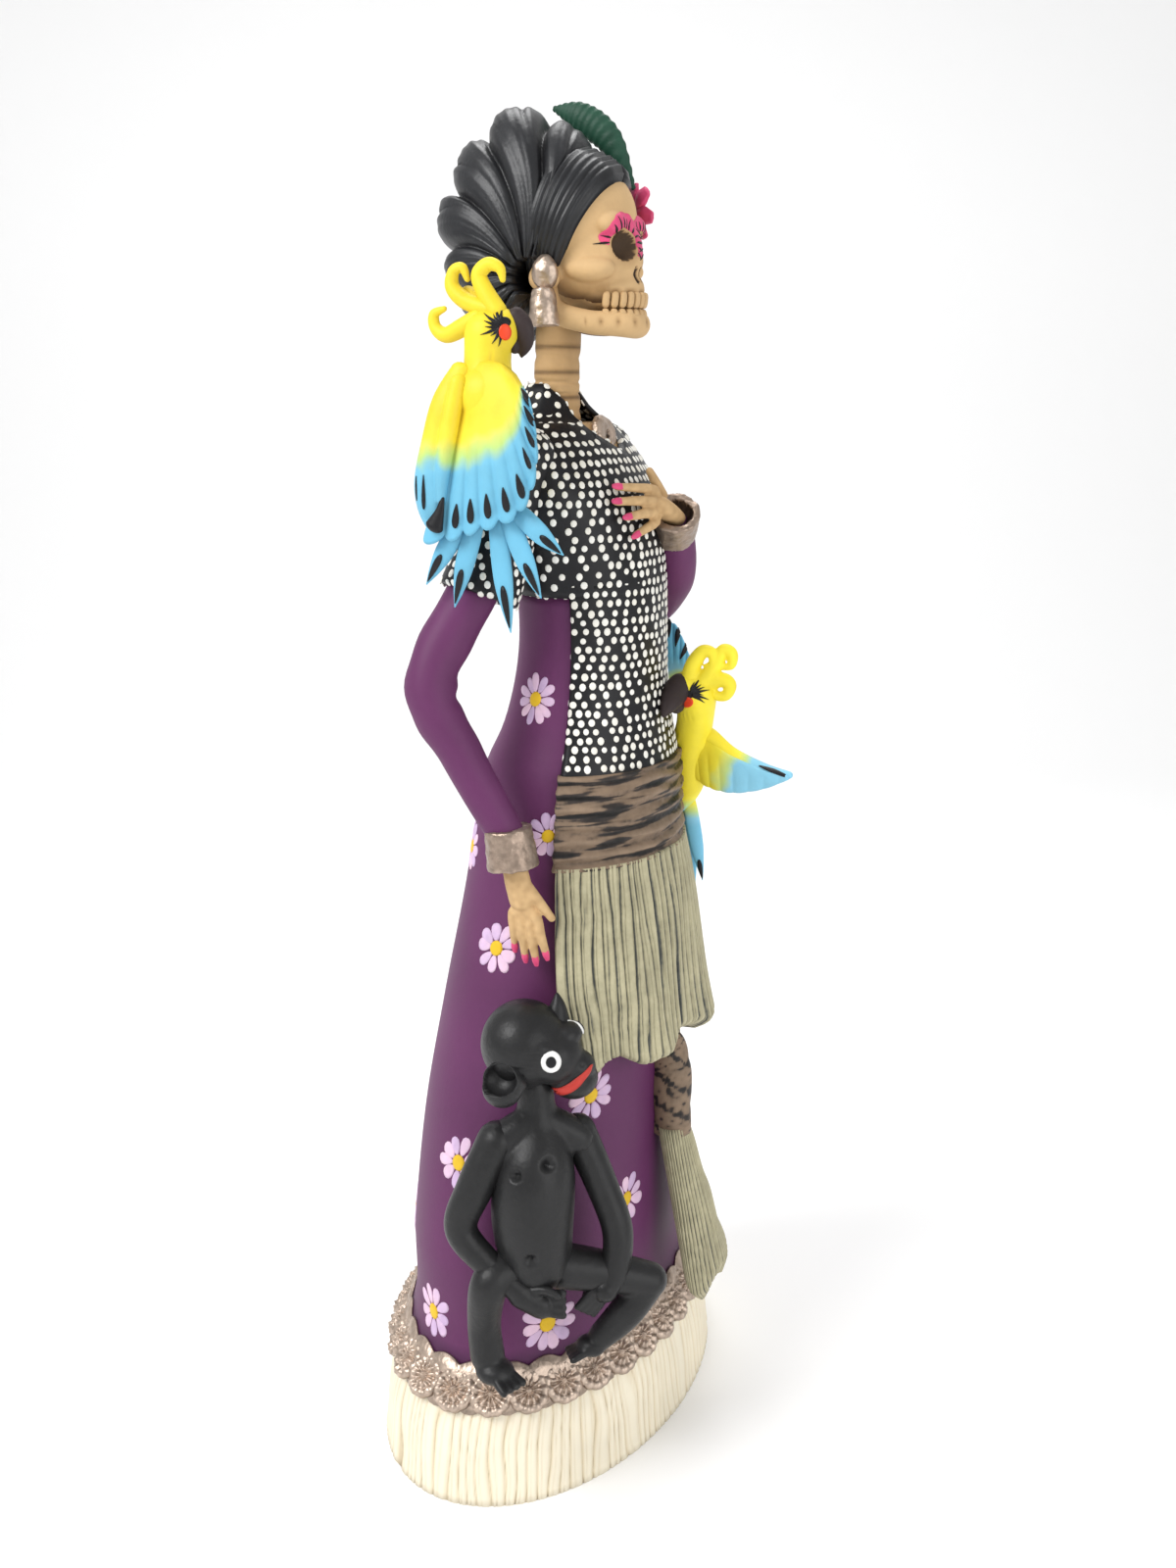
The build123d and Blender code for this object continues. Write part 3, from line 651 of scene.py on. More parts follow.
def blouse_chest():
    """Black chest with a shallow V at the front and a standing collar round the back."""
    columns, rows = 180, 26
    angles = [2 * math.pi * k / columns - math.pi for k in range(columns)]

    def top(theta):
        return SHOULDER_TOP - NECKLINE_DEPTH * max(0.0, 1 - abs(theta) / 0.55)

    def chest(theta, share, out):
        return body.point(theta, DRESS_TOP + (top(theta) - DRESS_TOP) * share, out)

    def collar(theta, share, thin):
        blend = min(1.0, max(0.0, (abs(theta) - 0.4) / 0.5))
        blend = blend * blend * (3 - 2 * blend)
        rise = COLLAR_RISE * min(1.0, max(0.0, (abs(theta) - 0.35) / 1.2)) ** 0.7
        foot = body.point(theta, top(theta), CLOTH - thin)
        reach = COLLAR_REACH - thin
        crest = np.array([reach * math.sin(theta), -3 - reach * math.cos(theta), SHOULDER_TOP + rise])
        level = np.array([share ** 0.8, share ** 0.8, share ** 1.5]) * blend
        return foot + (crest - foot) * level

    rings = []
    for r in range(rows):
        share = r / (rows - 1)
        rings.append([chest(theta, share, CLOTH + 0.3 * wobble(theta * 3, share * 4)) for theta in angles])
    for share in np.linspace(0.12, 1.0, 9):
        rings.append([collar(theta, share, 0.0) for theta in angles])
    rings.append([collar(theta, 1.0, 0.9) + np.array([0, 0, 0.5]) for theta in angles])
    for share in (1.0, 0.6, 0.0):
        rings.append([collar(theta, share, COLLAR_THICK) for theta in angles])
    for share in (0.97, 0.5, 0.0):
        rings.append([chest(theta, share, 0.2) for theta in angles])
    return ring_piece("blouse_top", rings, BLACK, ["blouse_chest"])


def edge_angle(z, out, edge_y):
    """Angle where the grown oval meets the plane y = edge_y."""
    _, b, cy = body.oval(z)
    return math.acos(max(-1, min(1, (cy - edge_y) / (b + out))))


def front_slab(rows, columns, low, top, out, edge_y):
    """Closed relief on the front. low(side), out(side, z, share) and edge_y(z) shape it; side is -1 to 1."""
    outer, inner = [], []
    for r in range(rows):
        share = r / (rows - 1)
        outer_row, inner_row = [], []
        for c in range(columns):
            side = 2 * c / (columns - 1) - 1
            z = low(side) + (top - low(side)) * share
            reach = out(side, z, share)
            theta = side * edge_angle(z, out(0, z, share), edge_y(z))
            rounding = min(1.0, (1 - abs(side)) * columns / 5)
            rounding = math.sqrt(max(0.0, rounding * (2 - rounding)))
            outer_row.append(body.point(theta, z, reach * (0.35 + 0.65 * rounding)))
            inner_row.append(body.point(theta, z, -ROOT_DEPTH))
        outer.append(outer_row)
        inner.append(inner_row)
    return slab(outer, inner)


def blouse_front():
    """Black apron front between the chest and the sash."""
    skin = front_slab(36, 90, lambda side: SASH_TOP - 3, DRESS_TOP + 4, lambda side, z, share: CLOTH,
                      lambda z: -21.0)
    return piece("blouse_apron", skin, BLACK, ["blouse_panel"])


def cap_sleeve(name, node, shoulder, hem, radii):
    """Short flared sleeve with a rolled open hem."""
    path, width = path_through([shoulder, [(s + h) / 2 for s, h in zip(shoulder, hem)], hem],
                               [radii[0], (radii[0] + radii[1]) / 2 - 0.3, radii[1]], 10)
    axes = frames_along(path)
    rings = []

    def ring(i, r, lift=0.0):
        side, up, along = axes[i]
        return [path[i] + along * lift + (side * math.cos(t) + up * math.sin(t)) * r for t in turns(48)]

    for k in (0.15, 0.4, 0.65, 0.85, 0.96):
        rings.append(ring(0, width[0, 0] * k, -width[0, 0] * math.sqrt(1 - k * k)))
    rings.extend(ring(i, width[i, 0]) for i in range(len(path)))
    rings.append(ring(len(path) - 1, width[-1, 0] - 0.9, 0.7))
    rings.append(ring(len(path) - 1, width[-1, 0] - 1.9))
    rings.append(ring(len(path) - 4, width[-1, 0] - 2.6))
    return piece(name, closed_skin(rings), BLACK, [node])


def triangles_of(pieces):
    """Corners in millimetres, outward normal and area of every triangle of some pieces."""
    found = []
    for obj in pieces:
        mesh = obj.data
        mesh.calc_loop_triangles()
        for tri in mesh.loop_triangles:
            corners = [np.array(mesh.vertices[i].co) / MM for i in tri.vertices]
            n = np.cross(corners[1] - corners[0], corners[2] - corners[0])
            area = np.linalg.norm(n) / 2
            if area > 1e-4:
                found.append((corners, n / (2 * area), area))
    return found


def thrown_darts(triangles):
    """Random spots on the blouse. Those on wavering level rows come first, in order round each row."""
    picks = random.choices(range(len(triangles)), weights=[area for _, _, area in triangles], k=DARTS)
    darts = []
    for number, index in enumerate(picks):
        corners, n, _ = triangles[index]
        u, v = random.random(), random.random()
        if u + v > 1:
            u, v = 1 - u, 1 - v
        spot = corners[0] + (corners[1] - corners[0]) * u + (corners[2] - corners[0]) * v
        if spot[2] < SASH_TOP + 1.3:
            continue
        level = (spot[2] + 0.9 * wobble(*(spot * 0.04))) / DOT_GAP
        on_row = abs(level - round(level)) < ROW_WIDTH
        order = (0, round(level), math.atan2(spot[0], spot[1])) if on_row else (1, number, 0.0)
        darts.append((order, spot, n))
    darts.sort(key=lambda dart: dart[0])
    return darts


def dab(spot, n):
    """One raised oval dot of paint."""
    across = unit(np.cross((0, 0, 1), n) if abs(n[2]) < 0.9 else (1, 0, 0))
    up = np.cross(n, across)
    radius = random.uniform(0.94, 1.18)
    tall = random.uniform(1.0, 1.25)
    rows = []
    for share, rise in ((1.0, -SUNK), (1.0, 0.10), (0.72, 0.22), (0.3, 0.26)):
        rows.append([spot + n * rise + (across * math.cos(t) + up * math.sin(t) * tall) * radius * share
                     for t in turns(10)])
    return closed_skin(rows)


def paint_dots(pieces):
    """Off-white dots over the whole blouse, each a gap from the next and none in a covered place."""
    triangles = triangles_of(pieces)
    solid = BVHTree.FromPolygons([Vector(c) for corners, _, _ in triangles for c in corners],
                                 [(3 * i, 3 * i + 1, 3 * i + 2) for i in range(len(triangles))])
    beside = (-1, 0, 1)
    cells = {}
    dots, tint = [], []
    for _, spot, n in thrown_darts(triangles):
        key = tuple((spot // DOT_GAP).astype(int))
        near = [p for dx in beside for dy in beside for dz in beside
                for p in cells.get((key[0] + dx, key[1] + dy, key[2] + dz), ())]
        if any(math.dist(p, spot) < DOT_GAP for p in near):
            continue
        if solid.ray_cast(Vector(spot + n * 0.4), Vector(n), COVER)[0] is not None:
            continue
        cells.setdefault(key, []).append(spot)
        made = dab(spot, n)
        dots.append(made)
        tint.extend([random.uniform(0, 0.45)] * len(made[0]))
    piece("blouse_dots", join_meshes(dots), DOT_WHITE, tint=tint)


# ---- sash and fringe -----------------------------------------------------------------
FRINGE_LOW, FRINGE_TOP = box_of("fringe_upper")[0][2], box_of("fringe_upper")[1][2]
FRINGE_PITCH = 3.9
FRINGE_FLARE = 14.0  # how far the fringe's hem stands out
SASH_FOLD = 5.2  # height of one fold


def sash():
    """Wrapped sash: wavering folds painted brown with black streaks, and painted shade in the hollows of the
    folds.
    """
    def fold(across, z):
        lean = 1.5 * wobble(across, z * 0.05)
        return math.sin((z + lean * 2) * 2 * math.pi / SASH_FOLD)

    def out(side, z, share):
        return 3.3 + 0.65 * fold(side * 2.2, z) + 0.25 * wobble(side * 22, z * 0.9)

    skin = front_slab(64, 200, lambda side: SASH_LOW - 1, SASH_TOP, out, lambda z: -20.5)
    tint = []
    for x, y, z in skin[0][:len(skin[0]) // 2]:
        streak = wobble(x * 0.05, y * 0.05, z * 0.42) + 0.5 * wobble(x * 0.12, y * 0.12, z * 1.3 + 9)
        # Painted shade and highlight: fold hollows darker, crests lighter; the streaks are black paint.
        tint.append(0.36 - 0.12 * fold(math.atan2(x, 40) * 1.2, z) + 1.25 * max(0, streak))
    piece("sash_wrap", skin, BROWN, ["waist_sash"], tint + [0.6] * len(tint))


def fringe_skirt():
    """Flared fringe with upright cut strands and a lobed hem."""
    columns, rows = 420, 48

    def low(side):
        lobe = 0.5 + 0.5 * math.cos(side * 10.5 + 0.8)
        return FRINGE_LOW + 2.0 + 4.5 * lobe + 2 * wobble(side * 9, 3.3)

    def cut_at(side, z):
        phase = 0.5 * wobble(side * 9, z * 0.03) + 0.25 * wobble(side * 40, z * 0.02)
        return carved(side * 62, FRINGE_PITCH, phase)

    def out(side, z, share):
        flare = FRINGE_FLARE - 10.0 * min(1.0, share * 1.02) ** 0.75
        swell = math.cos(side * 10.5 + 0.8 + math.pi)
        curl = 1 - (1 - min(1.0, share / 0.07)) ** 2 * 0.45
        return (flare + (1 - share) ** 2 * 2.6 * swell) * curl - 1.1 * cut_at(side, z)

    def edge_y(z):
        return -21.8 - 10.0 * ((FRINGE_TOP - z) / 73) ** 1.4

    skin = front_slab(rows, columns, low, FRINGE_TOP, out, edge_y)
    tint = []
    for r in range(rows):
        share = r / (rows - 1)
        for c in range(columns):
            side = 2 * c / (columns - 1) - 1
            z = low(side) + (FRINGE_TOP - low(side)) * share
            cut = cut_at(side, z)
            strip = max(0.0, wobble(side * 30, z * 0.015) * 1.2)
            # Painted shade: the cut grooves are darkened by their depth, more in random strips.
            tint.append(0.08 + 0.8 * cut + 0.5 * strip * (cut > 0.1))
    piece("fringe_skirt", skin, STRAW, ["fringe_upper"], tint + [0.7] * len(tint))


def fringe_knot():
    """Wrapped neck between the fringe and its tail, with slanting turns."""
    low, high = box_of("fringe_tail_wrap")
    x = (low[0] + high[0]) / 2
    wide = (high[0] - low[0]) / 2

    def wraps(u, turn):
        return 0.8 * abs(math.sin(u * 9 + turn + 0.5 * math.sin(turn * 2))) ** 0.6

    skin = tube([(x, -44.5, high[2] + 3), (x, -47.5, 134), (x, -48, low[2] - 1)],
                [wide * 0.85, wide, wide * 0.97], sides=64, steps=22, flat=0.85, rounded=False, bump=wraps)
    tint = []
    for p in skin[0]:
        turn = math.atan2(p[1] + 48, p[0] - x)
        band = abs(math.sin((p[2] - low[2]) * 0.30 + turn + 0.5 * wobble(turn * 3, p[2] * 0.3)))
        streak = wobble(turn * 2.5 + p[2] * 0.35, p[2] * 1.4)
        # Painted shade between the slanting turns; the streaks are black paint.
        tint.append(0.22 + 0.6 * (1 - band) ** 3 + 0.9 * max(0.0, streak))
    piece("fringe_knot", skin, BROWN, ["fringe_tail_wrap"], tint)


def fringe_fan():
    """Hanging fan of strands below the wrap, with an uneven foot."""
    low, high = box_of("fringe_tail")
    sides, levels = 260, 40
    rings, tint = [], []
    for r in range(levels + 1):
        share = r / levels
        ring = []
        for s in range(sides):
            turn = 2 * math.pi * s / sides
            foot = low[2] + 4.0 + 3.0 * math.cos(turn * 3 + 0.5) + 5.5 * max(0.0, math.sin(turn)) ** 2
            z = high[2] + (foot - high[2]) * share
            half = 7.0 + 10.2 * share ** 0.8 + 0.9 * math.sin(share * 15) * max(0.0, math.sin(turn))
            deep = 5.4 + 0.8 * share
            cx = -2 + 6.5 * share ** 0.8
            cy = -48.5 - 12.5 * share
            cut = carved(turn * 17, 3.0, 0.5 * wobble(turn * 3, z * 0.03))
            close = 1.0 - 0.35 * max(0.0, share - 0.93) / 0.07
            ring.append(np.array([cx + (half - 0.8 * cut) * math.sin(turn) * close,
                                  cy - (deep - 0.8 * cut) * math.cos(turn) * close, z]))
            # Painted shade: the cut grooves are darkened by their depth.
            tint.append(0.1 + 0.85 * cut)
        rings.append(ring)
    piece("fringe_fan", closed_skin(rings), STRAW, ["fringe_tail"], tint + [0.5, 0.8])


# ---- bone, hair and jewellery --------------------------------------------------------
BONE = painted("bone_paint", [(0.0, (0.60, 0.40, 0.20)), (0.4, (0.43, 0.27, 0.125)),
                              (0.75, (0.13, 0.075, 0.035)), (1.0, (0.025, 0.016, 0.012))],
               rough=0.68, mottle=0.12, mottle_scale=80, grain=0.16, tint_noise=0.12)
HAIR = painted("hair_paint", [(0.0, (0.020, 0.021, 0.024)), (1.0, (0.004, 0.004, 0.005))],
               rough=0.36, mottle=0.25, mottle_scale=150, grain=0.35, grain_scale=350, coat=0.15,
               tint_noise=0.2)
PINK = painted("pink_paint", [(0.0, (0.72, 0.075, 0.20)), (1.0, (0.45, 0.05, 0.14))],
               rough=0.45, mottle=0.2, mottle_scale=150, tint_noise=0.5)
LEAF = painted("leaf_paint", [(0.0, (0.020, 0.085, 0.050)), (1.0, (0.006, 0.025, 0.018))],
               rough=0.5, mottle=0.25, mottle_scale=150, grain=0.3, tint_noise=0.4)
LASH = painted("lash_paint", [(0.0, (0.012, 0.010, 0.012)), (1.0, (0.005, 0.005, 0.005))], rough=0.45)


def skin_tree(skin):
    """Search tree of a skin, for laying paint on it."""
    points, faces = skin
    return BVHTree.FromPolygons([Vector(p) for p in points], faces)


def hollow(points, centre, radii, inward):
    """Cup sunk into a skin: points inside the ellipsoid move inward to its far side."""
    centre, radii = np.array(centre, float), np.array(radii, float)
    d = unit(inward) / radii
    rel = (points - centre) / radii
    inside = (rel ** 2).sum(1) < 1
    b = (rel * d).sum(1)
    c = (rel ** 2).sum(1) - 1
    reach = (-b + np.sqrt(np.maximum(b * b - (d @ d) * c, 0))) / (d @ d)
    out = points.copy()
    out[inside] += unit(inward) * reach[inside][:, None]
    return out, inside


def laid_on(tree, origin, normal, rows, rise, wrap=False):
    """Thin paint patch: rows of (across, up) offsets dropped onto a skin along normal."""
    normal = unit(normal)
    across, up = facing(normal)
    origin = np.array(origin, float)

    def drop(u, v, lift):
        start = origin + across * u + up * v + normal * 12
        found = tree.ray_cast(Vector(start), Vector(-normal), 30)
        if found[0] is None:
            found = tree.find_nearest(Vector(origin + across * u + up * v))
        return np.array(found[0]) + np.array(found[1]) * lift

    def drop_row(row, lift):
        return [drop(u, v, lift) for u, v in row]

    top = [drop_row(row, rise) for row in rows]
    if wrap:
        return closed_skin([drop_row(rows[0], -SUNK)] + top)
    return slab(top, [drop_row(row, -SUNK) for row in rows])


def stroke(start, end, wide, bend=0.0):
    """Tapered brush stroke as rows of offsets, widest a third of the way along."""
    steps, fat = 6, 0.35
    start, end = np.array(start, float), np.array(end, float)
    run = end - start
    side = np.array([-run[1], run[0]]) / (np.linalg.norm(run) + 1e-9)
    rows = []
    for k in range(steps + 1):
        t = k / steps
        centre = start + run * t + side * bend * math.sin(math.pi * t)
        half = wide / 2 * (min(1.0, (t + 0.12) / fat) if t < fat else (1 - t) / (1 - fat) + 0.06)
        rows.append([tuple(centre - side * half), tuple(centre), tuple(centre + side * half)])
    return rows


def disc(radius, count=20, squash=1.0):
    """Round patch as rings of offsets."""
    angles = [2 * math.pi * k / count for k in range(count)]
    return [[(radius * share * math.cos(turn), radius * share * squash * math.sin(turn)) for turn in angles]
            for share in (1.0, 0.75, 0.45, 0.12)]


NECK_RINGS = 6.5
HEAD = np.array([0.0, -6.0, 420.0])
HEAD_RADII = np.array([18.5, 24.0, 20.0])
SOCKET = np.array([7.6, -33.5, 411.5])
SOCKET_RADII = (5.0, 8.0, 5.2)


def skull():
    """Generic skull with brown painted shade in and round its hollows and under the cheekbones; returns its
    search tree.
    """
    parts = [ball(HEAD, HEAD_RADII, fine=4), ball((0, -15, 409), (15, 17.6, 16.5), fine=3),
             ball((0, -21.5, 398.5), (10.4, 11.8, 7.5), fine=3)]
    for side in (-1, 1):
        parts.append(ball((side * 11.8, -20, 404.5), (5.4, 8.6, 4.2), fine=3))
        parts.append(ball((side * 7.6, -25.6, 418.0), (7.0, 4.6, 4.0), fine=3))
        parts.append(ball((side * 15.5, -6, 402), (2.8, 5.5, 4.8), fine=2))
    tint = []

    def shape(points, normals):
        tone_and_shade = np.zeros(len(points))
        # Painted shade fills each eye socket and fades out round it.
        for side in (-1, 1):
            centre = SOCKET * (side, 1, 1)
            points, inside = hollow(points, centre, SOCKET_RADII, (-side * 0.12, 1, 0.0))
            tone_and_shade[inside] = 0.9
            away = np.linalg.norm((points - centre) / (7.2, 9.0, 7.2), axis=1)
            tone_and_shade = np.maximum(tone_and_shade, np.clip(1.15 - away, 0, 1) * 0.8)
        # Painted shade fills the nose holes.
        for side in (-1, 1):
            points, inside = hollow(points, (side * 1.7, -34.5, 403), (1.35, 4.5, 3.2), (0, 1, 0))
            tone_and_shade[inside] = 0.95
        # Pressed line between the tooth roots, with painted shade in it.
        ridge = np.clip(1 - abs(points[:, 2] - 397.5) / 1.6, 0, 1) * (points[:, 1] < -20)
        turn = np.arctan2(points[:, 0], -(points[:, 1] + 16))
        roots = np.abs(np.sin(turn * 9.5)) ** 4
        points = points - normals * (ridge * (1 - roots) * 0.5)[:, None]
        tone_and_shade = np.maximum(tone_and_shade, ridge * (1 - roots) * 0.55)
        # Painted shade under the cheekbones, darker towards the bottom.
        under = (points[:, 2] < 401) * (np.abs(points[:, 0]) > 8.5) * (points[:, 1] > -26)
        tint.extend(np.maximum(tone_and_shade, np.clip((401 - points[:, 2]) / 6, 0, 1) * under * 0.8))
        return points

    skin = clay(parts, 0.62, 5, shape)
    piece("skull_bone", skin, BONE, ["skull"], tint)
    return skin_tree(skin)


def eye_paint(tree):
    """Pink lid fans with black lashes round each socket."""
    fans, lashes = [], []
    rim = np.array([SOCKET_RADII[0], SOCKET_RADII[2]]) * 1.10
    petals = 9
    for side, first_degrees, last_degrees in ((-1, -25, 172), (1, 8, 205)):
        origin = SOCKET * (side, 1, 1) + np.array([side * 0.3, 0, 0.2])
        normal = (side * 0.33, -0.92, 0.2)
        start, end = math.radians(first_degrees), math.radians(last_degrees)
        rows = []
        for share in np.linspace(0, 1, 8):
            row = []
            for t in np.linspace(start, end, 72):
                round_edge = abs(math.sin(math.pi * petals * (t - start) / (end - start))) ** 0.5
                taper = math.sin(math.pi * (t - start) / (end - start)) ** 0.35
                grow = (4.4 + 0.5 * round_edge) * taper * share
                row.append(((rim[0] + grow) * math.cos(t), (rim[1] + grow) * math.sin(t)))
            rows.append(row)
        fans.append(laid_on(tree, origin, normal, rows, 0.18))
        for t in np.linspace(start + 0.15, end - 0.12, 12):
            long = 3.2 + 0.7 * math.sin(t * 7)
            lean = (t - math.pi / 2) * 0.06
            first = (rim * (0.99, 0.99)) * (math.cos(t), math.sin(t))
            last = (rim + long) * (math.cos(t + lean), math.sin(t + lean))
            lashes.append(laid_on(tree, origin, normal, stroke(first, last, 0.7), 0.30))
    piece("eyelid_fans", join_meshes(fans), PINK, tint=0.1)
    piece("eyelashes", join_meshes(lashes), LASH, tint=0.3)


def jawbone():
    """Horseshoe lower jaw with upright ends beside the ears."""
    arch = [(14.5, -7, 402), (14.3, -8.5, 392.5), (11.8, -19, 388.6), (6.5, -28, 388), (0, -30.8, 387.8)]
    arch += [(-x, y, z) for x, y, z in reversed(arch[:-1])]
    widths = [2.6, 3.6, 3.7, 4.1, 4.4, 4.1, 3.7, 3.6, 2.6]
    parts = [tube(arch, widths, sides=20, steps=7), ball((0, -20, 387.5), (9.5, 11, 3.2), fine=3)]
    tint = []

    def shape(points, normals):
        turn = np.arctan2(points[:, 0], -(points[:, 1] + 17))
        row = np.clip(1 - abs(points[:, 2] - 388.5) / 2.2, 0, 1) * (points[:, 1] < -20)
        roots = 1 - np.abs(np.sin(turn * 9.0)) ** 2
        # Painted shade between the teeth, up the upright ends under the skull, and inside the front of the
        # jaw.
        tone_and_shade = row * roots ** 4 * 0.6
        tone_and_shade = np.maximum(tone_and_shade, (points[:, 1] > -14) * np.clip((points[:, 2] - 391) / 8, 0, 1) * 0.45)
        tint.extend(np.maximum(tone_and_shade, (np.abs(points[:, 0]) < 9) * (points[:, 1] > -24) * 0.7))
        return points - normals * (row * roots ** 4 * 0.35)[:, None]

    piece("jaw_bone", clay(parts, 0.6, 5, shape), BONE, ["jaw"], tint)


def teeth(name, node, height, reach, half_tall, lean):
    """A row of rounded teeth set round the front of the mouth."""
    parts, tint = [], []
    count = 12
    size = (1.28, 1.25, half_tall)
    for k in range(count):
        turn = math.radians(-72 + 144 * (k + 0.5) / count)
        centre = np.array([reach * 0.82 * math.sin(turn), -19.5 - reach * math.cos(turn), height])
        round_points, faces = ball((0, 0, 0), size, fine=2)
        points = []
        for p in round_points:
            p = np.sign(p) * np.abs(p / size) ** 0.7 * size
            x = p[0] * math.cos(turn) + p[1] * math.sin(turn)
            y = p[0] * math.sin(turn) - p[1] * math.cos(turn)
            points.append(centre + np.array([x, y - lean * p[2] * 0.1, p[2]]))
            # Painted shade down each side of a tooth, between it and the next.
            tint.append(0.05 + 0.6 * min(1, abs(p[0]) / size[0]) ** 6)
        parts.append((points, faces))
    piece(name, join_meshes(parts), BONE, [node], tint)


def neck():
    """Ringed neck, a little wider at its foot."""
    low, high = box_of("neck")

    def crease(u):
        """1 in a ring pressed round the neck, 0 halfway between two."""
        return 0.5 + 0.5 * math.cos(u * 2 * math.pi * NECK_RINGS)

    def bump(u, turn):
        return -0.45 * crease(u) ** 6 + 0.15 * wobble(u * 9, math.cos(turn) * 2, math.sin(turn) * 2)

    skin = tube([(0, -3, low[2] + 2), (0, -3, 362), (0, -3, 372), (0, -4, high[2] - 2)],
                [8.8, 7.7, 7.5, 7.4], sides=56, steps=26, bump=bump)
    # Painted shade in the pressed rings.
    tint = [0.24 + 0.45 * crease((p[2] - low[2]) / (high[2] - low[2])) ** 8 for p in skin[0]]
    piece("neck_bone", skin, BONE, ["neck"], tint)


def bare_chest():
    """Bone-coloured chest seen in the neckline."""
    rings = [[body.point(theta, z, -0.05) for theta in turns(96, -math.pi)]
             for z in np.linspace(DRESS_TOP, SHOULDER_TOP, 24)]
    piece("chest_bone", closed_skin(rings), BONE, ["chest_core"], 0.3)


# Hair lines on the head, as (y, z): from the ear up to the parting.
FRONT_LINE = ((-6.5, 398), (-26.5, 431.5))
BACK_LINE = ((5, 392), (-8, 441))


def way_out(start, heading):
    """How far along heading a ray from start inside the unit ball comes out of it."""
    b, a, c = start @ heading, heading @ heading, start @ start - 1
    return (-b + math.sqrt(max(0.0, b * b - a * c))) / a


def combed_hair(side, name, node):
    """Smooth band of combed strands from the parting down to the ear."""
    rows, columns = 30, 44
    outer, inner, tint = [], [], []
    for u in np.linspace(0, 1, rows):
        foot = np.array(FRONT_LINE[0]) * (1 - u) + np.array(BACK_LINE[0]) * u
        top = np.array(FRONT_LINE[1]) * (1 - u) + np.array(BACK_LINE[1]) * u
        along = (top - foot) / np.linalg.norm(top - foot)
        out_row, in_row = [], []
        for v in np.linspace(0, 1, columns):
            edge = min(1.0, min(u, 1 - u) * 9)
            strand = math.sin(u * 2 * math.pi * 9 + 2.2 * wobble(u * 4, v * 2.0, side)) * 0.32
            strand += 0.35 * wobble(u * 22, v * 3, 5 + side)
            for grow, row in ((3.0 * math.sqrt(edge) + strand, out_row), (0.1, in_row)):
                radii = HEAD_RADII + grow
                far = way_out((foot - HEAD[1:]) / radii[1:], along / radii[1:])
                t = far * (1 - math.cos(v * math.pi / 2)) if v < 1 else far
                spot = foot + along * t
                rel = (spot - HEAD[1:]) / radii[1:]
                x = radii[0] * math.sqrt(max(0.0, 1 - rel @ rel))
                row.append(np.array([side * max(x, 0.15), spot[0], spot[1]]))
            # Painted highlight and shade: raised strands lighter, low ones darker.
            tint.append(0.35 - 0.9 * strand)
        outer.append(out_row)
        inner.append(in_row)
    piece(name, slab(outer, inner), HAIR, [node], tint + [0.8] * len(tint))


# The rolls fan out round an axis from ear to ear, inside an oval; both as (y, z).
EAR_AXIS = np.array([-2.0, 402.0])
CROWN = np.array([8.0, 418.0])
CROWN_RADII = np.array([29.0, 37.0])
ROLLS = 7


def hair_rolls():
    """Fat twisted rolls packed side by side from ear to ear over the top and back of the head."""
    slices, arc_steps, inner_steps = 260, 96, 14
    rings, tint = [], []
    for i in range(slices):
        share = i / (slices - 1)
        angle = math.radians(114 - 176 * share)
        heading = np.array([math.cos(angle), math.sin(angle)])
        far = way_out((EAR_AXIS - CROWN) / CROWN_RADII, heading / CROWN_RADII)
        close = min(1.0, 16 * share + 0.25, 16 * (1 - share) + 0.25)
        ring = []
        for s in np.linspace(0, math.pi, arc_steps):
            lean = 0.75 * math.sin(s - math.pi / 2) + 0.30 * math.sin(2 * s)
            place = share * ROLLS + lean
            seam = abs(math.sin(math.pi * place))
            number = math.floor(place)
            dip = 5.6 * (1 - seam) ** 2.6 + 1.6 * (1 - seam)
            strand = 0.16 * math.sin(2 * math.pi * (place * 6 + s * 0.9)) * seam ** 0.5
            crease = abs(math.sin(math.pi * (place * 2.0 + s * 0.5 + number * 0.37)))
            twist = -1.5 * (1 - crease) ** 3 * seam
            swell = 1.0 * math.sin(number * 2.3 + 0.6)
            size = far * close - dip + strand + twist + swell
            reach = 6 + (size - 6) * math.sin(s) ** 0.62
            ring.append(np.array([(21.5 + 0.25 * (strand + twist) - 0.22 * dip) * math.cos(s),
                                  EAR_AXIS[0] + heading[0] * reach, EAR_AXIS[1] + heading[1] * reach]))
            # Painted shade in the seams between rolls.
            tint.append(0.25 + 0.7 * (1 - seam) ** 2)
        for t in np.linspace(-1, 1, inner_steps + 2)[1:-1]:
            ring.append(np.array([17 * t, EAR_AXIS[0] + heading[0] * 5, EAR_AXIS[1] + heading[1] * 5]))
            tint.append(0.8)
        rings.append(ring)
    piece("hair_rolls", closed_skin(rings), HAIR, ["braid_crown"], tint + [0.8, 0.8])
    nape = tube([(-12, 6, 396), (-6, 15, 388), (6, 15, 388), (12, 6, 396)], [4, 7, 7, 4], sides=30,
                steps=9, bump=lambda u, turn: 0.35 * math.sin(turn * 9 + u * 6))
    piece("nape_roll", nape, HAIR, ["nape_hair"], 0.4)


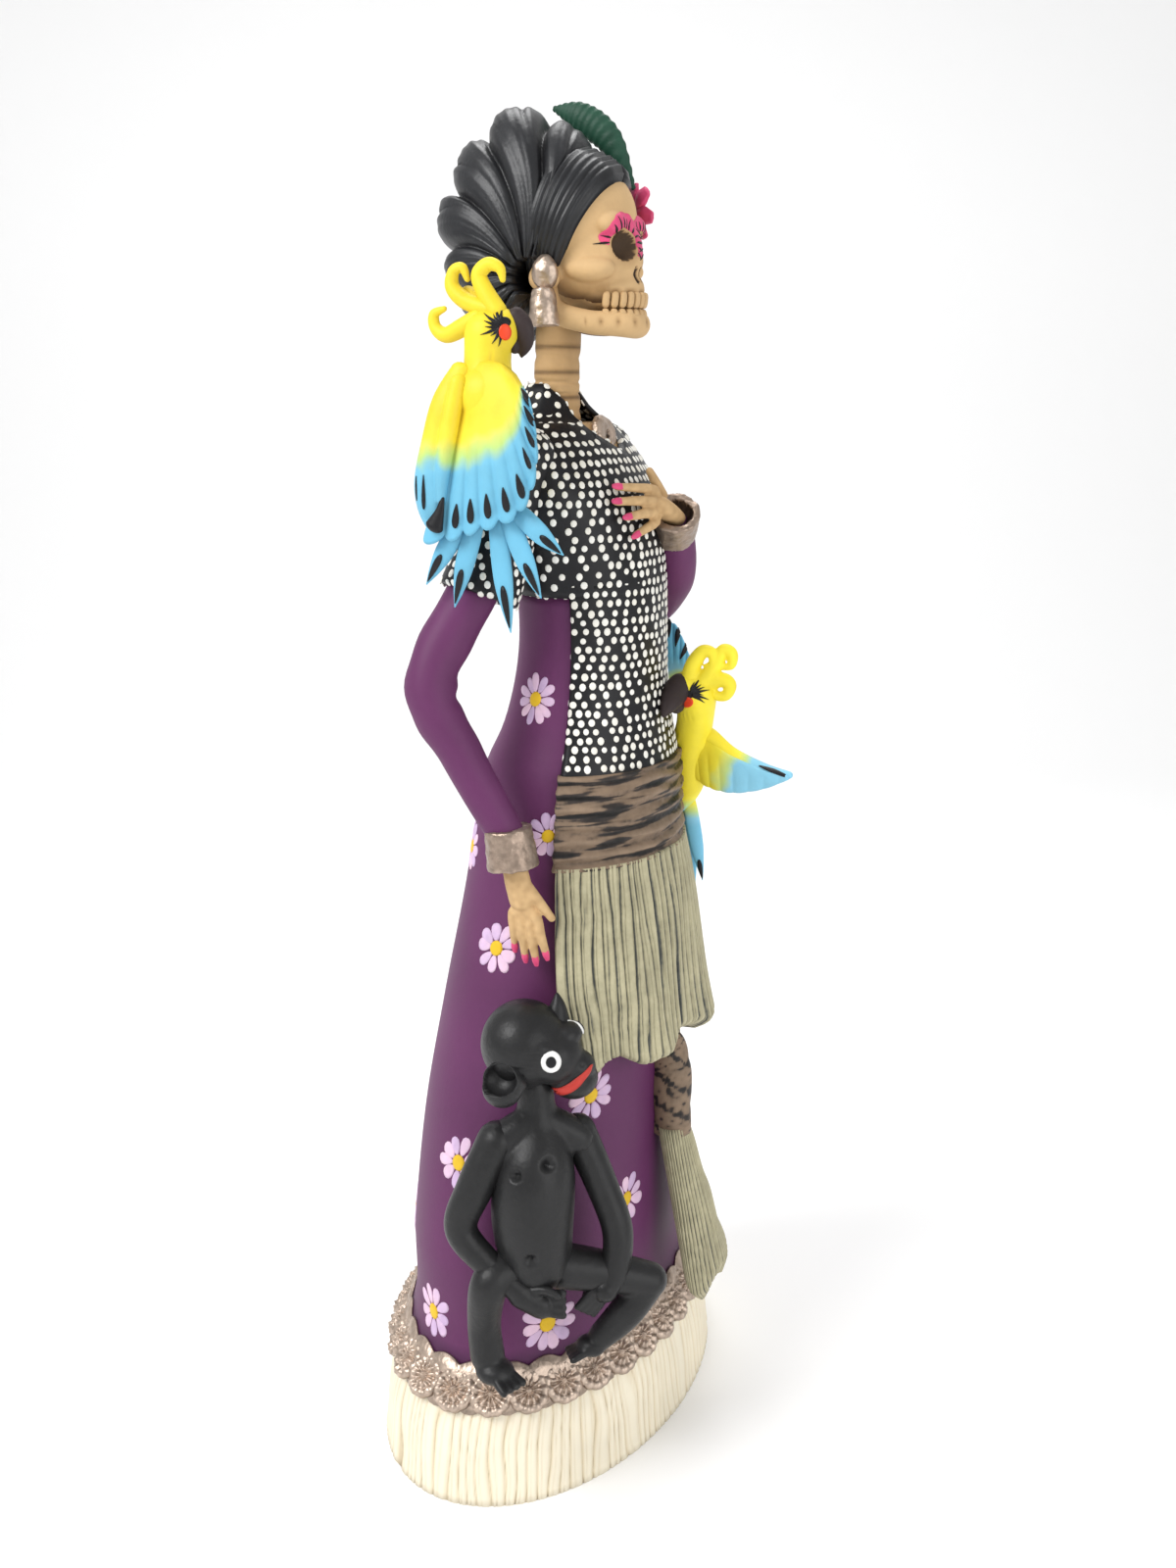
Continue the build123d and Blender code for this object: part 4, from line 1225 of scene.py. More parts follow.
def leaves():
    """Ridged leaves in the hair on the left."""
    big = tube([(16, 5, 456.5), (17, -4, 453.5), (18, -14, 446), (18.5, -22, 431)], [0.8, 4.6, 4.4, 1.0],
               sides=36, steps=40, flat=0.55, hint=(1, 0, 0),
               bump=lambda u, turn: 0.16 * math.sin(u * 95 + 3.0 * abs(math.sin(turn))))
    piece("leaf_big", big, LEAF, ["leaf_large"], 0.3)
    little = tube([(14, 6, 400), (14, 10, 391), (13, 14, 383)], [1.0, 3.6, 0.8], sides=30, steps=10,
                  flat=0.5, hint=(1, 0.3, 0),
                  bump=lambda u, turn: 0.25 * math.sin(u * 40 + 2 * abs(math.sin(turn))))
    piece("leaf_little", little, LEAF, ["leaf_small"], 0.3)


def flower():
    """Pink flower with six petals and a beaded yellow heart."""
    centre = middle("flower_centre")
    normal = unit((0.75, -0.65, 0.1))
    across, up = facing(normal)
    petals = []
    for k in range(6):
        turn = 2 * math.pi * k / 6 + 0.3
        reach = across * math.cos(turn) + up * math.sin(turn)
        petals.append(tube([centre + reach * 1.2, centre + reach * 5 + normal * 0.8,
                            centre + reach * 8.2 + normal * 2.0], [1.2, 2.9, 2.0], sides=26, steps=8,
                           flat=0.42, hint=normal, bump=lambda u, turn: 0.18 * math.sin(turn * 6)))
    piece("flower_leaves", join_meshes(petals), PINK, ["flower_petals"])
    beads = [ball(centre + normal * 1.4 + (across * math.cos(t) + up * math.sin(t)) * 1.3,
                  (0.95, 0.95, 0.95), fine=1) for t in turns(6)]
    beads.append(ball(centre + normal * 1.0, (1.7, 1.7, 1.7), fine=2))
    piece("flower_heart", join_meshes(beads), YELLOW, ["flower_centre"], 0.3)


def metal(name, parts, voxel, node, hollows, tone=0.15):
    """Hand-beaten metallic clay piece. hollows are (centre, radii, inward)."""
    tint = []

    def shape(points, normals):
        push = np.array([wobble(*(p * 0.35)) + 0.5 * wobble(*(p * 0.35 * 2.3)) for p in points]) * 0.35
        points = points + normals * push[:, None]
        tone_and_shade = np.zeros(len(points)) + tone
        # Painted shade inside each hollow; tone is the tint elsewhere.
        for centre, radii, inward in hollows:
            points, inside = hollow(points, centre, radii, inward)
            tone_and_shade[inside] = 0.95
        tint.extend(tone_and_shade)
        return points

    piece(name, clay(parts, voxel, 3, shape), PEWTER, [node], tint)


def jewellery():
    """Earrings and the round brooch."""
    for side, hand in ((-1, "right"), (1, "left")):
        x = side * 19.3
        metal("earring_button_" + hand, [ball((x, -8, 403.2), (3.0, 4.3, 5.6), fine=3)], 0.5,
              "ear_stud_" + hand, [])
        x = x + side * 1.2
        barrel = tube([(x, -8, 398.5), (x, -8.2, 393), (x, -8.4, 387)], [3.4, 4.3, 4.9], sides=30, steps=6,
                      rounded=False)
        metal("earring_barrel_" + hand, [barrel], 0.5, "ear_drop_" + hand,
              [((x, -8.4, 386), (2.2, 2.2, 4), (0, 0, 1))])
    centre = np.array([-0.6, -20.2, 353.0])
    tilt = unit((0, -1, 0.25))
    across = np.array([1, 0, 0])
    up = unit(np.cross(across, tilt))
    parts = [ball(centre + (across * math.cos(t) + up * math.sin(t)) * 4.6, (2.3, 2.1, 2.3), fine=1)
             for t in turns(24)]
    parts.append(ball(centre, (4.4, 1.6, 4.4), fine=2))
    metal("brooch_ring", parts, 0.5, "brooch", [(centre + tilt * 2.4, (1.7, 2.6, 1.7), -tilt)])


# ---- arms and hands ------------------------------------------------------------------
RIGHT_ARM = [(-33, -6, 344), (-45, 3.5, 310), (-58, 14.4, 278), (-57.5, 4, 255), (-56, -11.5, 229)]
LEFT_ARM = [(33, -6, 344), (45, -2, 315), (46, -12, 289), (27, -34, 303), (10, -42, 323)]


def sleeve(name, node, points, radii, elbow):
    """Purple sleeve with a few pressed folds round the elbow."""
    def folds(u, turn):
        depth = 0.85 * math.exp(-((u - elbow) / 0.15) ** 2)
        return (depth * math.sin(u * 52 + 2.0 * math.sin(turn + 1)) * (0.5 + 0.5 * math.cos(turn - 0.6))
                + 0.25 * wobble(u * 5, turn))

    piece(name, tube(points, radii, sides=56, steps=16, bump=folds), PURPLE, [node])


def cuff(name, node, wrist, end, radii):
    """Beaten metal cuff with an open mouth."""
    wrist, end = np.array(wrist, float), np.array(end, float)
    run = unit(end - wrist)
    mouth = tuple(abs(run) * 5 + (1 - abs(run)) * (radii[-1] - 1.9))
    metal(name, [tube([wrist, (wrist + end) / 2, end], radii, sides=40, steps=8, rounded=False)], 0.55,
          node, [(end + run * 0.5, mouth, -run)], 0.42)


def hand(name, node, wrist, palm, knuckles, tips, widths, thumb, nail_face):
    """Skeleton-thin painted hand: palm, jointed fingers, thumb and pink nails."""
    wrist, palm, nail_face = np.array(wrist, float), np.array(palm, float), np.array(nail_face)
    parts = [tube([wrist, (wrist + palm) / 2, palm], [4.0, 4.5, 4.4], sides=22, steps=6, flat=0.72)]
    nails = []
    for knuckle, tip, wide in zip(knuckles, tips, widths):
        knuckle, tip = np.array(knuckle, float), np.array(tip, float)
        mid = (knuckle + tip) / 2 + nail_face * 0.9
        parts.append(tube([palm + (knuckle - palm) * 0.1, knuckle, mid, tip],
                          [1.6, wide * 1.1, wide, wide * 0.8], sides=18, steps=6))
        parts.append(ball(knuckle + nail_face * 0.3, (wide * 1.2,) * 3, fine=1))
        run = unit(tip - mid)
        nails.append(tube([tip - run * 2.2 + nail_face * wide * 0.45, tip + nail_face * wide * 0.5,
                           tip + run * 2.0 + nail_face * wide * 0.35],
                          [0.9, 1.15, 0.7], sides=16, steps=5, flat=0.55, hint=nail_face))
    start, end = np.array(thumb[0], float), np.array(thumb[1], float)
    parts.append(tube([start, (start + end) / 2, end], [1.9, 1.7, 1.3], sides=18, steps=6))
    skin = clay(parts, 0.42, 4)
    tint = [0.15 + 0.25 * wobble(*(p * 0.5)) for p in skin[0]]
    piece(name, skin, BONE, [node], tint)
    piece(name + "_nails", join_meshes(nails), PINK, tint=0.1)


def arms():
    """Both sleeves, cuffs and hands: the right arm hangs, the left hand lies on the chest."""
    sleeve("sleeve_right", "right_sleeve", RIGHT_ARM, [8.3, 8.0, 8.2, 7.0, 5.8], 0.5)
    cuff("cuff_right", "right_cuff", (-56, -11.2, 232.5), (-56, -13, 219.5), [7.6, 8.0, 8.5])
    fan = (-4.2, -1.4, 1.4, 4.2)
    hand("hand_right", "right_hand", (-56, -12.8, 222), (-55, -15.5, 208),
         [(-54.6, -16 + k, 205 - abs(k) * 0.35) for k in fan],
         [(-53.4, -17.5 + k * 1.35, z) for k, z in zip(fan, (190.5, 188, 188.5, 191.5))],
         [1.55, 1.6, 1.6, 1.4], ((-55.5, -18, 213), (-53, -25, 203)), (-0.9, -0.35, 0.1))
    sleeve("sleeve_left", "left_sleeve", LEFT_ARM, [8.3, 8.0, 8.4, 7.6, 5.9], 0.55)
    cuff("cuff_left", "left_cuff", (12, -40.5, 320.5), (4, -44, 328.5), [7.4, 7.8, 8.2])
    hand("hand_left", "left_hand", (6, -43, 326.5), (-2, -40.5, 331),
         [(-4.5, -39.5, 336), (-6.5, -39.8, 332.6), (-6.8, -40, 329.2), (-5.5, -40.5, 326)],
         [(-21, -33.5, 338), (-22.5, -34, 333.5), (-19.5, -36.5, 328.5), (-16, -38, 322.5)],
         [1.5, 1.6, 1.6, 1.5], ((2, -40, 334), (-3, -37.5, 342)), (-0.4, -0.85, 0.3))


# ---- parrots -------------------------------------------------------------------------
def feather_paint(name, colours):
    """Feather colours from yellow through green to blue."""
    stops = list(zip((0.0, 0.30, 0.50, 0.66, 1.0), colours))
    return painted(name, stops, rough=0.5, mottle=0.12, mottle_scale=60, grain=0.12, tint_noise=0.06,
                   noise_scale=120)


FEATHER = feather_paint("feather_paint", [(0.78, 0.58, 0.025), (0.80, 0.66, 0.045), (0.44, 0.62, 0.20),
                                          (0.17, 0.47, 0.64), (0.08, 0.35, 0.56)])
# Brighter copy of the feather paint: painted light for the hip parrot, which sits away from the key lamp.
HIP_FEATHER_LIT = feather_paint("hip_feather_lit_paint", [(0.92, 0.74, 0.035), (0.93, 0.82, 0.06),
                                                  (0.56, 0.74, 0.28), (0.28, 0.63, 0.82),
                                                  (0.14, 0.48, 0.72)])
BEAK = painted("beak_paint", [(0.0, (0.040, 0.026, 0.026)), (1.0, (0.018, 0.012, 0.012))],
               rough=0.55, grain=0.2)
EYE_ORANGE = painted("eye_orange", [(0.0, (0.80, 0.065, 0.018)), (1.0, (0.66, 0.04, 0.012))], rough=0.4,
                     tint_noise=0.4)


def clamp(value):
    """The value, held between 0 and 1."""
    return max(0.0, min(1.0, value))


def drop_on(tree, spot, normal, heading, length, wide):
    """Painted drop on a skin with its round end towards heading."""
    normal = unit(normal)
    across, up = facing(normal)
    turn = math.atan2(np.dot(heading, up), np.dot(heading, across))
    count = 18
    outline = []
    for k in range(count):
        at = 2 * math.pi * k / count
        along = -0.5 * length * math.cos(at)
        half = 0.5 * wide * math.sin(at) * (0.3 + 0.7 * (0.5 - 0.5 * math.cos(at)))
        outline.append((along * math.cos(turn) - half * math.sin(turn),
                        along * math.sin(turn) + half * math.cos(turn)))
    rows = [[(u * share, v * share) for u, v in outline] for share in (1.0, 0.7, 0.35)]
    return laid_on(tree, spot, normal, rows, 0.3, wrap=True)


def smooth_line(spots):
    """Smooth line of points through a few."""
    return path_through(spots, [0] * len(spots), 16)[0]


def wing_fan(tops, tips, face, feathers, dome, thick, groove, scallop, start=0.3, rows=44, columns=150):
    """Ridged fan of feathers between a shoulder line and a line of tips: its skin, and how far down
    from 0 to 1 each point lies."""
    top_line, tip_line = smooth_line(tops), smooth_line(tips)
    face = unit(face)
    outer, inner, shares = [], [], []

    def along(line, t):
        place = t * (len(line) - 1)
        i = min(int(place), len(line) - 2)
        return line[i] + (line[i + 1] - line[i]) * (place - i)

    for r in range(rows):
        share = r / (rows - 1)
        outer_row, inner_row = [], []
        for c in range(columns):
            across = c / (columns - 1)
            vane = abs(math.sin(math.pi * across * feathers))
            cut = scallop * (vane ** 0.6 - 1) * share ** 5
            top = along(top_line, across)
            spot = top + (along(tip_line, across) - top) * (share + cut)
            edge = min(1.0, 14 * across, 14 * (1 - across), 9 * (1 - share) + 0.2, 6 * share + 0.2)
            edge = math.sqrt(edge * (2 - edge))
            arch = math.sin(math.pi * min(1, share + 0.08)) ** 0.8
            swell = dome * math.sin(math.pi * across) ** 0.7 * arch
            ridge = groove * clamp((share - start) / 0.25) * (vane ** 0.7 - 1)
            lift = (thick * (1 - 0.45 * share) + swell + ridge) * edge
            outer_row.append(spot + face * lift)
            inner_row.append(spot - face * ROOT_DEPTH)
            shares.append(share)
        outer.append(outer_row)
        inner.append(inner_row)
    return slab(outer, inner), shares + shares


def feather_blade(root, tip, wide, thick, face):
    """Pointed tail feather with a raised middle and a short curl at its tip."""
    root, tip = np.array(root, float), np.array(tip, float)
    stops = [0, 0.25, 0.6, 0.85, 1.0]
    widths = [0.42, 0.95, 1.0, 0.55, 0.08]
    spots = [root + (tip - root) * t + unit(face) * 1.0 * math.sin(math.pi * t) for t in stops]
    return tube(spots, [w * wide / 2 for w in widths], sides=20, steps=7, flat=thick / wide, hint=face,
                bump=lambda u, turn: 0.12 * math.cos(turn * 2 + math.pi) * wide / 4)


def tail(name, node, paint, feathers, size, face, colour, seat, drop_width):
    """Tail of pointed feathers, each (root, tip, length of its drop); returns the black drops."""
    skin = join_meshes([feather_blade(root, tip, *size, face) for root, tip, _ in feathers])
    piece(name, skin, paint, [node], [colour(p) for p in skin[0]])
    tree = skin_tree(skin)
    made = []
    for root, tip, length in feathers:
        root, tip = np.array(root, float), np.array(tip, float)
        made.append(drop_on(tree, root + (tip - root) * seat, face, root - tip, length, drop_width))
    return made


def curl(points, radii):
    """Curled crest plume with a round end."""
    return tube(points, radii, sides=18, steps=10, hint=(1, 0, 0))


def beak(name, node, spots, radii, flat, chin, chin_radii):
    """Hooked beak with a lower half under it."""
    parts = [tube(spots, radii, sides=30, steps=7, flat=flat, hint=(1, 0, 0)),
             ball(chin, chin_radii, fine=2)]
    piece(name, clay(parts, 0.45, 3), BEAK, [node], 0.3)


def lashes(tree, origin, normal, strokes, turn_from, turn_to, inside, outside):
    """Black brush strokes that fan out round an eye."""
    made = []
    for k in range(strokes):
        turn = math.radians(turn_from + (turn_to - turn_from) * k / (strokes - 1))
        reach = outside * (0.86 + 0.2 * math.sin(k * 2.4))
        start = (inside * math.cos(turn), inside * math.sin(turn))
        end = (reach * math.cos(turn + 0.18), reach * math.sin(turn + 0.18))
        made.append(laid_on(tree, origin, normal, stroke(start, end, 1.0, 0.35), 0.22))
    return made


def shoulder_parrot():
    """Parrot on the right shoulder, its back and folded wings outwards, its head turned to the lady."""
    def shape(points, normals):
        points = press(points, normals, (-59, -14.4, 384.5), (3.0, 2.6, 3.0), 0.8)
        for row in range(3):
            points = press(points, normals, (-59.5, -12.6 + row * 1.6, 377.5), (2.6, 0.8, 4.0), 0.5)
        return points

    back = clay([tube([(-56, -8, 347), (-55.5, -7, 362), (-53.5, -5.2, 374), (-52.5, -5.2, 384)],
                      [9.4, 9.4, 7.2, 7.3], sides=40, steps=8),
                 ball((-52, -9.5, 385), (5.6, 5.2, 6.6), fine=3),
                 ball((-59, -7, 366), (6.5, 9, 8.5), fine=3)], 0.6, 4, shape)
    tree = skin_tree(back)
    piece("parrot_back", back, FEATHER, ["shoulder_parrot_body"], 0.12)

    plumes = [curl([(-53, -8.4, 390.5), (-53, -4.2, 396.6), (-53, -2.6, 401), (-53, -5.8, 403.8),
                    (-53, -9.4, 402.6), (-53, -10.4, 399.4)], [3.0, 2.7, 2.4, 2.1, 1.6, 0.9]),
              curl([(-53, -6.0, 391), (-53, 2.0, 393.6), (-53, 6.4, 397.6), (-53, 5.9, 402.0),
                    (-53, 3.0, 403), (-53, 1.4, 399.8)], [2.6, 2.6, 2.3, 1.8, 1.5, 0.9]),
              curl([(-53.5, -2.4, 388.6), (-53.5, 3.4, 385.8), (-53.5, 8.6, 383.9), (-53.5, 12.2, 386),
                    (-53.5, 12.6, 389.8), (-53.5, 9.2, 391.4)], [2.9, 2.8, 2.4, 1.9, 1.6, 0.9]),
              curl([(-50, -4, 389), (-49, 1, 394.5), (-48, 4.2, 396.5), (-47.5, 6.4, 394.0)],
                   [2.6, 2.3, 1.7, 0.9])]
    piece("parrot_plumes", join_meshes(plumes), FEATHER, ["shoulder_parrot_crest"], 0.1)
    beak("parrot_bill", "shoulder_parrot_beak",
         [(-50.6, -12.8, 388.6), (-50.4, -15.4, 386), (-50, -16.2, 381.5), (-50, -14.8, 377.6)],
         [3.7, 3.4, 2.5, 0.7], 0.72, (-50.5, -12.8, 381), (2.1, 1.8, 2.8))

    face = (-0.93, -0.37, 0.05)
    eye = laid_on(tree, (-59, -13.6, 384.6), face, disc(1.7, squash=1.3), 0.45, wrap=True)
    piece("parrot_eye", eye, EYE_ORANGE)
    marks = lashes(tree, (-59, -12.6, 386.4), face, 10, 78, 250, 0.6, 6.4)
    marks.append(laid_on(tree, (-59, -13.4, 387.4), face, disc(1.9, 18, 0.8), 0.2, wrap=True))
    marks += near_wing() + far_wing()

    feathers = []
    for tip in ((-61, -33.4, 320.6), (-61, -26.0, 307.4), (-60.5, -15.4, 296.2), (-60, 4.1, 302.8),
                (-60, 13.9, 309.3)):
        root = (-60, -7 + tip[1] * 0.22, 336)
        feathers.append((root, tip, np.linalg.norm(np.subtract(tip, root)) * 0.33))
    marks += tail("parrot_tail", "shoulder_parrot_tail", FEATHER, feathers, (6.6, 2.4), (-1, -0.1, 0),
                  lambda p: 0.76, 0.80, 2.9)
    piece("parrot_marks", join_meshes(marks), BLACK, tint=0.3)


def near_wing():
    """Spread wing towards the viewer; returns the black drops on its feathers."""
    tips = [(-63, -23.6, 366), (-64, -25.8, 359), (-64.5, -27.0, 349.7), (-65, -25.6, 339.6),
            (-65, -20.6, 331.6), (-65, -12.6, 328), (-65, -4.8, 325.6), (-64.5, 3.2, 323.2),
            (-64, 13.2, 321.8)]
    tops = [(-57, -16.4, 372.5), (-58, -12.4, 375.5), (-58, -6.6, 376), (-57, -0.5, 374)]
    outward = np.array((-0.96, -0.26, 0.05))
    feathers, slim_feathers = 10, 4
    skin, shares = wing_fan(tops, tips, outward, feathers, 4.2, 3.0, 1.0, 0.055, start=0.42)
    tint = []
    for p, share in zip(skin[0], shares):
        reach = share + 0.03 * wobble(p[1] * 0.3, p[2] * 0.2)
        tint.append(0.1 + 0.62 * clamp((reach - 0.30) / 0.34) + 0.18 * max(0.0, share - 0.7))
    piece("parrot_wing_near", skin, FEATHER, ["shoulder_parrot_wing_right"], tint)
    tree = skin_tree(skin)
    top_line, tip_line = smooth_line(tops), smooth_line(tips)
    made = []
    for k in range(feathers - 1):
        share = (k + 0.5) / feathers
        top = top_line[int(share * (len(top_line) - 1))]
        tip = tip_line[int(share * (len(tip_line) - 1))]
        seat, length, wide = (0.80, 6.6, 1.7) if k < slim_feathers else (0.855, 7.4, 3.0)
        made.append(drop_on(tree, top + (tip - top) * seat, outward, tip - top, length, wide))
    return made


def far_wing():
    """Folded wing behind the back; returns its black marks."""
    skin = clay([tube([(-59, 0.5, 373.5), (-61.5, 4.6, 364), (-62.5, 7.6, 352), (-62.5, 9.8, 341),
                       (-62, 9.8, 333), (-62, 8.4, 326.5)], [3.6, 4.8, 5.2, 5.6, 5.0, 2.8],
                      sides=36, steps=9, flat=0.66, hint=(1, 0, 0),
                      bump=lambda u, turn: 0.4 * math.cos(turn * 6) * clamp((u - 0.4) * 4)),
                 tube([(-63.5, -0.5, 370), (-65, 1.6, 358), (-65.6, 4.0, 345), (-65.4, 5.0, 336)],
                      [2.6, 2.8, 2.4, 1.6], sides=24, steps=8)], 0.5, 3)
    tint = [0.1 + 0.62 * clamp((359 + wobble(p[1] * 0.3, p[2] * 0.2) * 3 - p[2]) / 16) for p in skin[0]]
    piece("parrot_wing_far", skin, FEATHER, ["shoulder_parrot_wing_left"], tint)
    tree = skin_tree(skin)
    made = [drop_on(tree, spot, (-0.93, -0.2, 0.0), (0, 0.05, -1), length, wide)
            for spot, length, wide in (((-63, 11.4, 338), 10.5, 1.6), ((-62, 14.2, 339), 7.5, 0.9))]
    made.append(tube([(-66.4, 4.0, 336.5), (-66.6, 5.0, 332.4), (-66.4, 7.0, 328)], [0.7, 1.5, 3.0],
                     sides=20, steps=7, flat=0.6, hint=(1, 0, 0)))
    return made


def hip_parrot():
    """Parrot clinging to the left hip, wings spread, head turned to the front."""
    def shape(points, normals):
        points = press(points, normals, (7, -48.6, 264.8), (3, 3, 2.4), 0.8)
        for row in range(3):
            points = press(points, normals, (9.5, -45.0 - row * 1.8, 258.5), (4.0, 0.8, 4.6), 0.55)
        return points

    back = clay([tube([(30, -38.5, 222), (28, -41, 231), (25.5, -42.4, 243), (19.5, -46.4, 255),
                       (12.5, -49.5, 266.8)], [3.0, 6.0, 6.8, 6.4, 7.0], sides=40, steps=8),
                 ball((11, -46.9, 268.8), (5.6, 5.6, 6.0), fine=3),
                 ball((24, -46.5, 248), (5.6, 6.2, 5.4), fine=3)], 0.6, 4, shape)
    tree = skin_tree(back)
    tint = [0.12 + 0.5 * clamp((228 - p[2]) / 8) for p in back[0]]
    piece("hip_parrot_back", back, HIP_FEATHER_LIT, ["hip_parrot_body"], tint)

    plumes = [curl([(10, -47.4, 271), (10, -49.0, 277.2), (10, -52.4, 281.8), (10, -55.8, 281.2),
                    (10, -55.8, 277.8), (10, -53.4, 276.8)], [3.2, 2.8, 2.3, 1.9, 1.5, 0.9]),
              curl([(11, -52.0, 271), (11, -56.8, 277.6), (11, -59.2, 282.6), (11, -62.4, 281.6),
                    (11, -62.2, 277.8), (11, -59.4, 276.6)], [3.0, 2.5, 2.1, 1.9, 1.6, 1.0]),
              curl([(12, -52.0, 270), (12, -58.4, 272.2), (12, -61.6, 270.6), (12, -60.2, 267.0),
                    (12, -56.6, 266.6), (12, -56, 269)], [3.0, 2.6, 2.2, 1.9, 1.6, 1.0])]
    piece("hip_parrot_plumes", clay(plumes, 0.45, 2), HIP_FEATHER_LIT, ["hip_parrot_crest"], 0.1)
    beak("hip_parrot_bill", "hip_parrot_beak",
         [(8.5, -45.6, 270.2), (5, -44.2, 267.6), (0, -43.8, 264.4), (-3.5, -43.6, 261.6)],
         [4.6, 4.6, 3.2, 1.0], 0.75, (6.0, -44.6, 263.6), (3.4, 2.8, 3.2))

    face = (-0.93, -0.36, 0.1)
    eye = laid_on(tree, (6, -48.4, 264.8), face, disc(2.1, squash=0.85), 0.5, wrap=True)
    piece("hip_parrot_eye", eye, EYE_ORANGE)
    marks = lashes(tree, (6, -49.5, 267.4), face, 8, -40, 62, 0.5, 6.6)
    marks.append(laid_on(tree, (6, -48.9, 267.5), face, disc(1.9, 18, 0.7), 0.2, wrap=True))

    ridge = [(22.5, -43.5, 247.5), (22, -49.7, 250.4), (21.5, -59.6, 244.5), (21, -71.7, 240.4),
             (21, -80.6, 239)]
    low = [(24, -44.6, 233.5), (23.5, -51, 230.6), (23, -60, 229.9), (22.5, -71, 232.6),
           (21.5, -80.6, 237.4)]
    fan, shares = wing_fan(ridge, low, (-0.93, -0.3, 0.15), 8, 0.9, 2.6, 0.35, 0.02, start=0.25, rows=30,
                           columns=120)
    tint = []
    for p, share in zip(fan[0], shares):
        reach = -53 - p[1] + 6 * share + wobble(p[1] * 0.2, p[2] * 0.2) * 3
        tint.append(0.1 + 0.60 * clamp(reach / 12))
    rim = tube(ridge, [3.4, 3.0, 2.3, 1.9, 1.3], sides=20, steps=8)
    tint += [0.1 + 0.60 * clamp((-60 - p[1]) / 8) for p in rim[0]]
    piece("hip_parrot_wing", join_meshes([fan, rim]), HIP_FEATHER_LIT,
          ["hip_parrot_wing_near"], tint)
    marks.append(tube([(19.4, -70.5, 241.6), (19.2, -75.5, 240.4), (19.2, -79.4, 239.2)], [0.5, 1.3, 1.0],
                      sides=16, steps=6, flat=0.6))

    outward = (-0.9, -0.4, 0.1)
    fan, shares = wing_fan([(36, -30.5, 262), (37, -33.5, 265.5), (38, -36.6, 268.5)],
                           [(44, -24.6, 288), (43.5, -29.5, 285), (42, -33.6, 279), (40, -37.6, 271.6)],
                           outward, 4, 0.5, 1.8, 0.6, 0.05, rows=24, columns=70)
    piece("hip_parrot_wing_back", fan, HIP_FEATHER_LIT, ["hip_parrot_wing_far"],
          [0.2 + 0.78 * min(1.0, share * 2.2) for share in shares])
    tree = skin_tree(fan)
    for spot, heading in (((42.5, -27.4, 283.5), (0.2, 0.1, 1)), ((42, -30.8, 280.5), (0.2, -0.1, 1)),
                          ((40.6, -34.2, 276), (0.1, -0.5, 1))):
        marks.append(drop_on(tree, spot, outward, heading, 7.0, 2.3))

    marks += tail("hip_parrot_tail_feathers", "hip_parrot_tail", HIP_FEATHER_LIT,
                  [((29, -40, 231), (33.5, -45.4, 192.6), 8.0),
                   ((31, -38.5, 231), (38.5, -40.2, 183.4), 8.0)],
                  (5.4, 2.2), (-0.93, -0.3, 0), lambda p: 0.1 + 0.75 * clamp((226 - p[2]) / 12), 0.88, 2.2)
    piece("hip_parrot_marks", join_meshes(marks), BLACK, tint=0.3)


# ---- monkey --------------------------------------------------------------------------
MONKEY = painted("monkey_paint", [(0.0, (0.020, 0.020, 0.020)), (0.5, (0.012, 0.012, 0.013)),
                                  (1.0, (0.004, 0.004, 0.004))],
                 rough=0.40, mottle=0.25, mottle_scale=90, grain=0.35, grain_scale=420, coat=0.04,
                 tint_noise=0.3)
EYE_WHITE = painted("eye_white", [(0.0, (0.86, 0.86, 0.84)), (1.0, (0.7, 0.7, 0.68))], rough=0.4,
                    tint_noise=0.3)
MOUTH_RED = painted("mouth_red", [(0.0, (0.52, 0.045, 0.032)), (1.0, (0.32, 0.02, 0.018))], rough=0.45,
                    tint_noise=0.5)


def monkey_skin(name, node, parts, shape=None, voxel=0.7, smooth=5):
    """Black clay piece of the monkey; returns its search tree."""
    skin = clay(parts, voxel, smooth, shape)
    piece(name, skin, MONKEY, [node], 0.3)
    return skin_tree(skin)


def limb(spots, radii):
    """Arm, leg or shoulder."""
    return tube(spots, radii, sides=32, steps=8)


def thumb(spots, radii):
    """Thumb or finger."""
    return tube(spots, radii, sides=14, steps=5)


def fingers(root, tip, across, pitch, radius):
    """Row of four short fingers from a knuckle line."""
    root, tip, across = np.array(root, float), np.array(tip, float), unit(across)
    made = []
    for place in (-1.5, -0.5, 0.5, 1.5):
        side = across * pitch * place
        made.append(thumb([root + side * 0.8, root + (tip - root) * 0.55 + side, tip + side * 1.15],
                          [radius * 1.1, radius, radius * 0.85]))
    return made


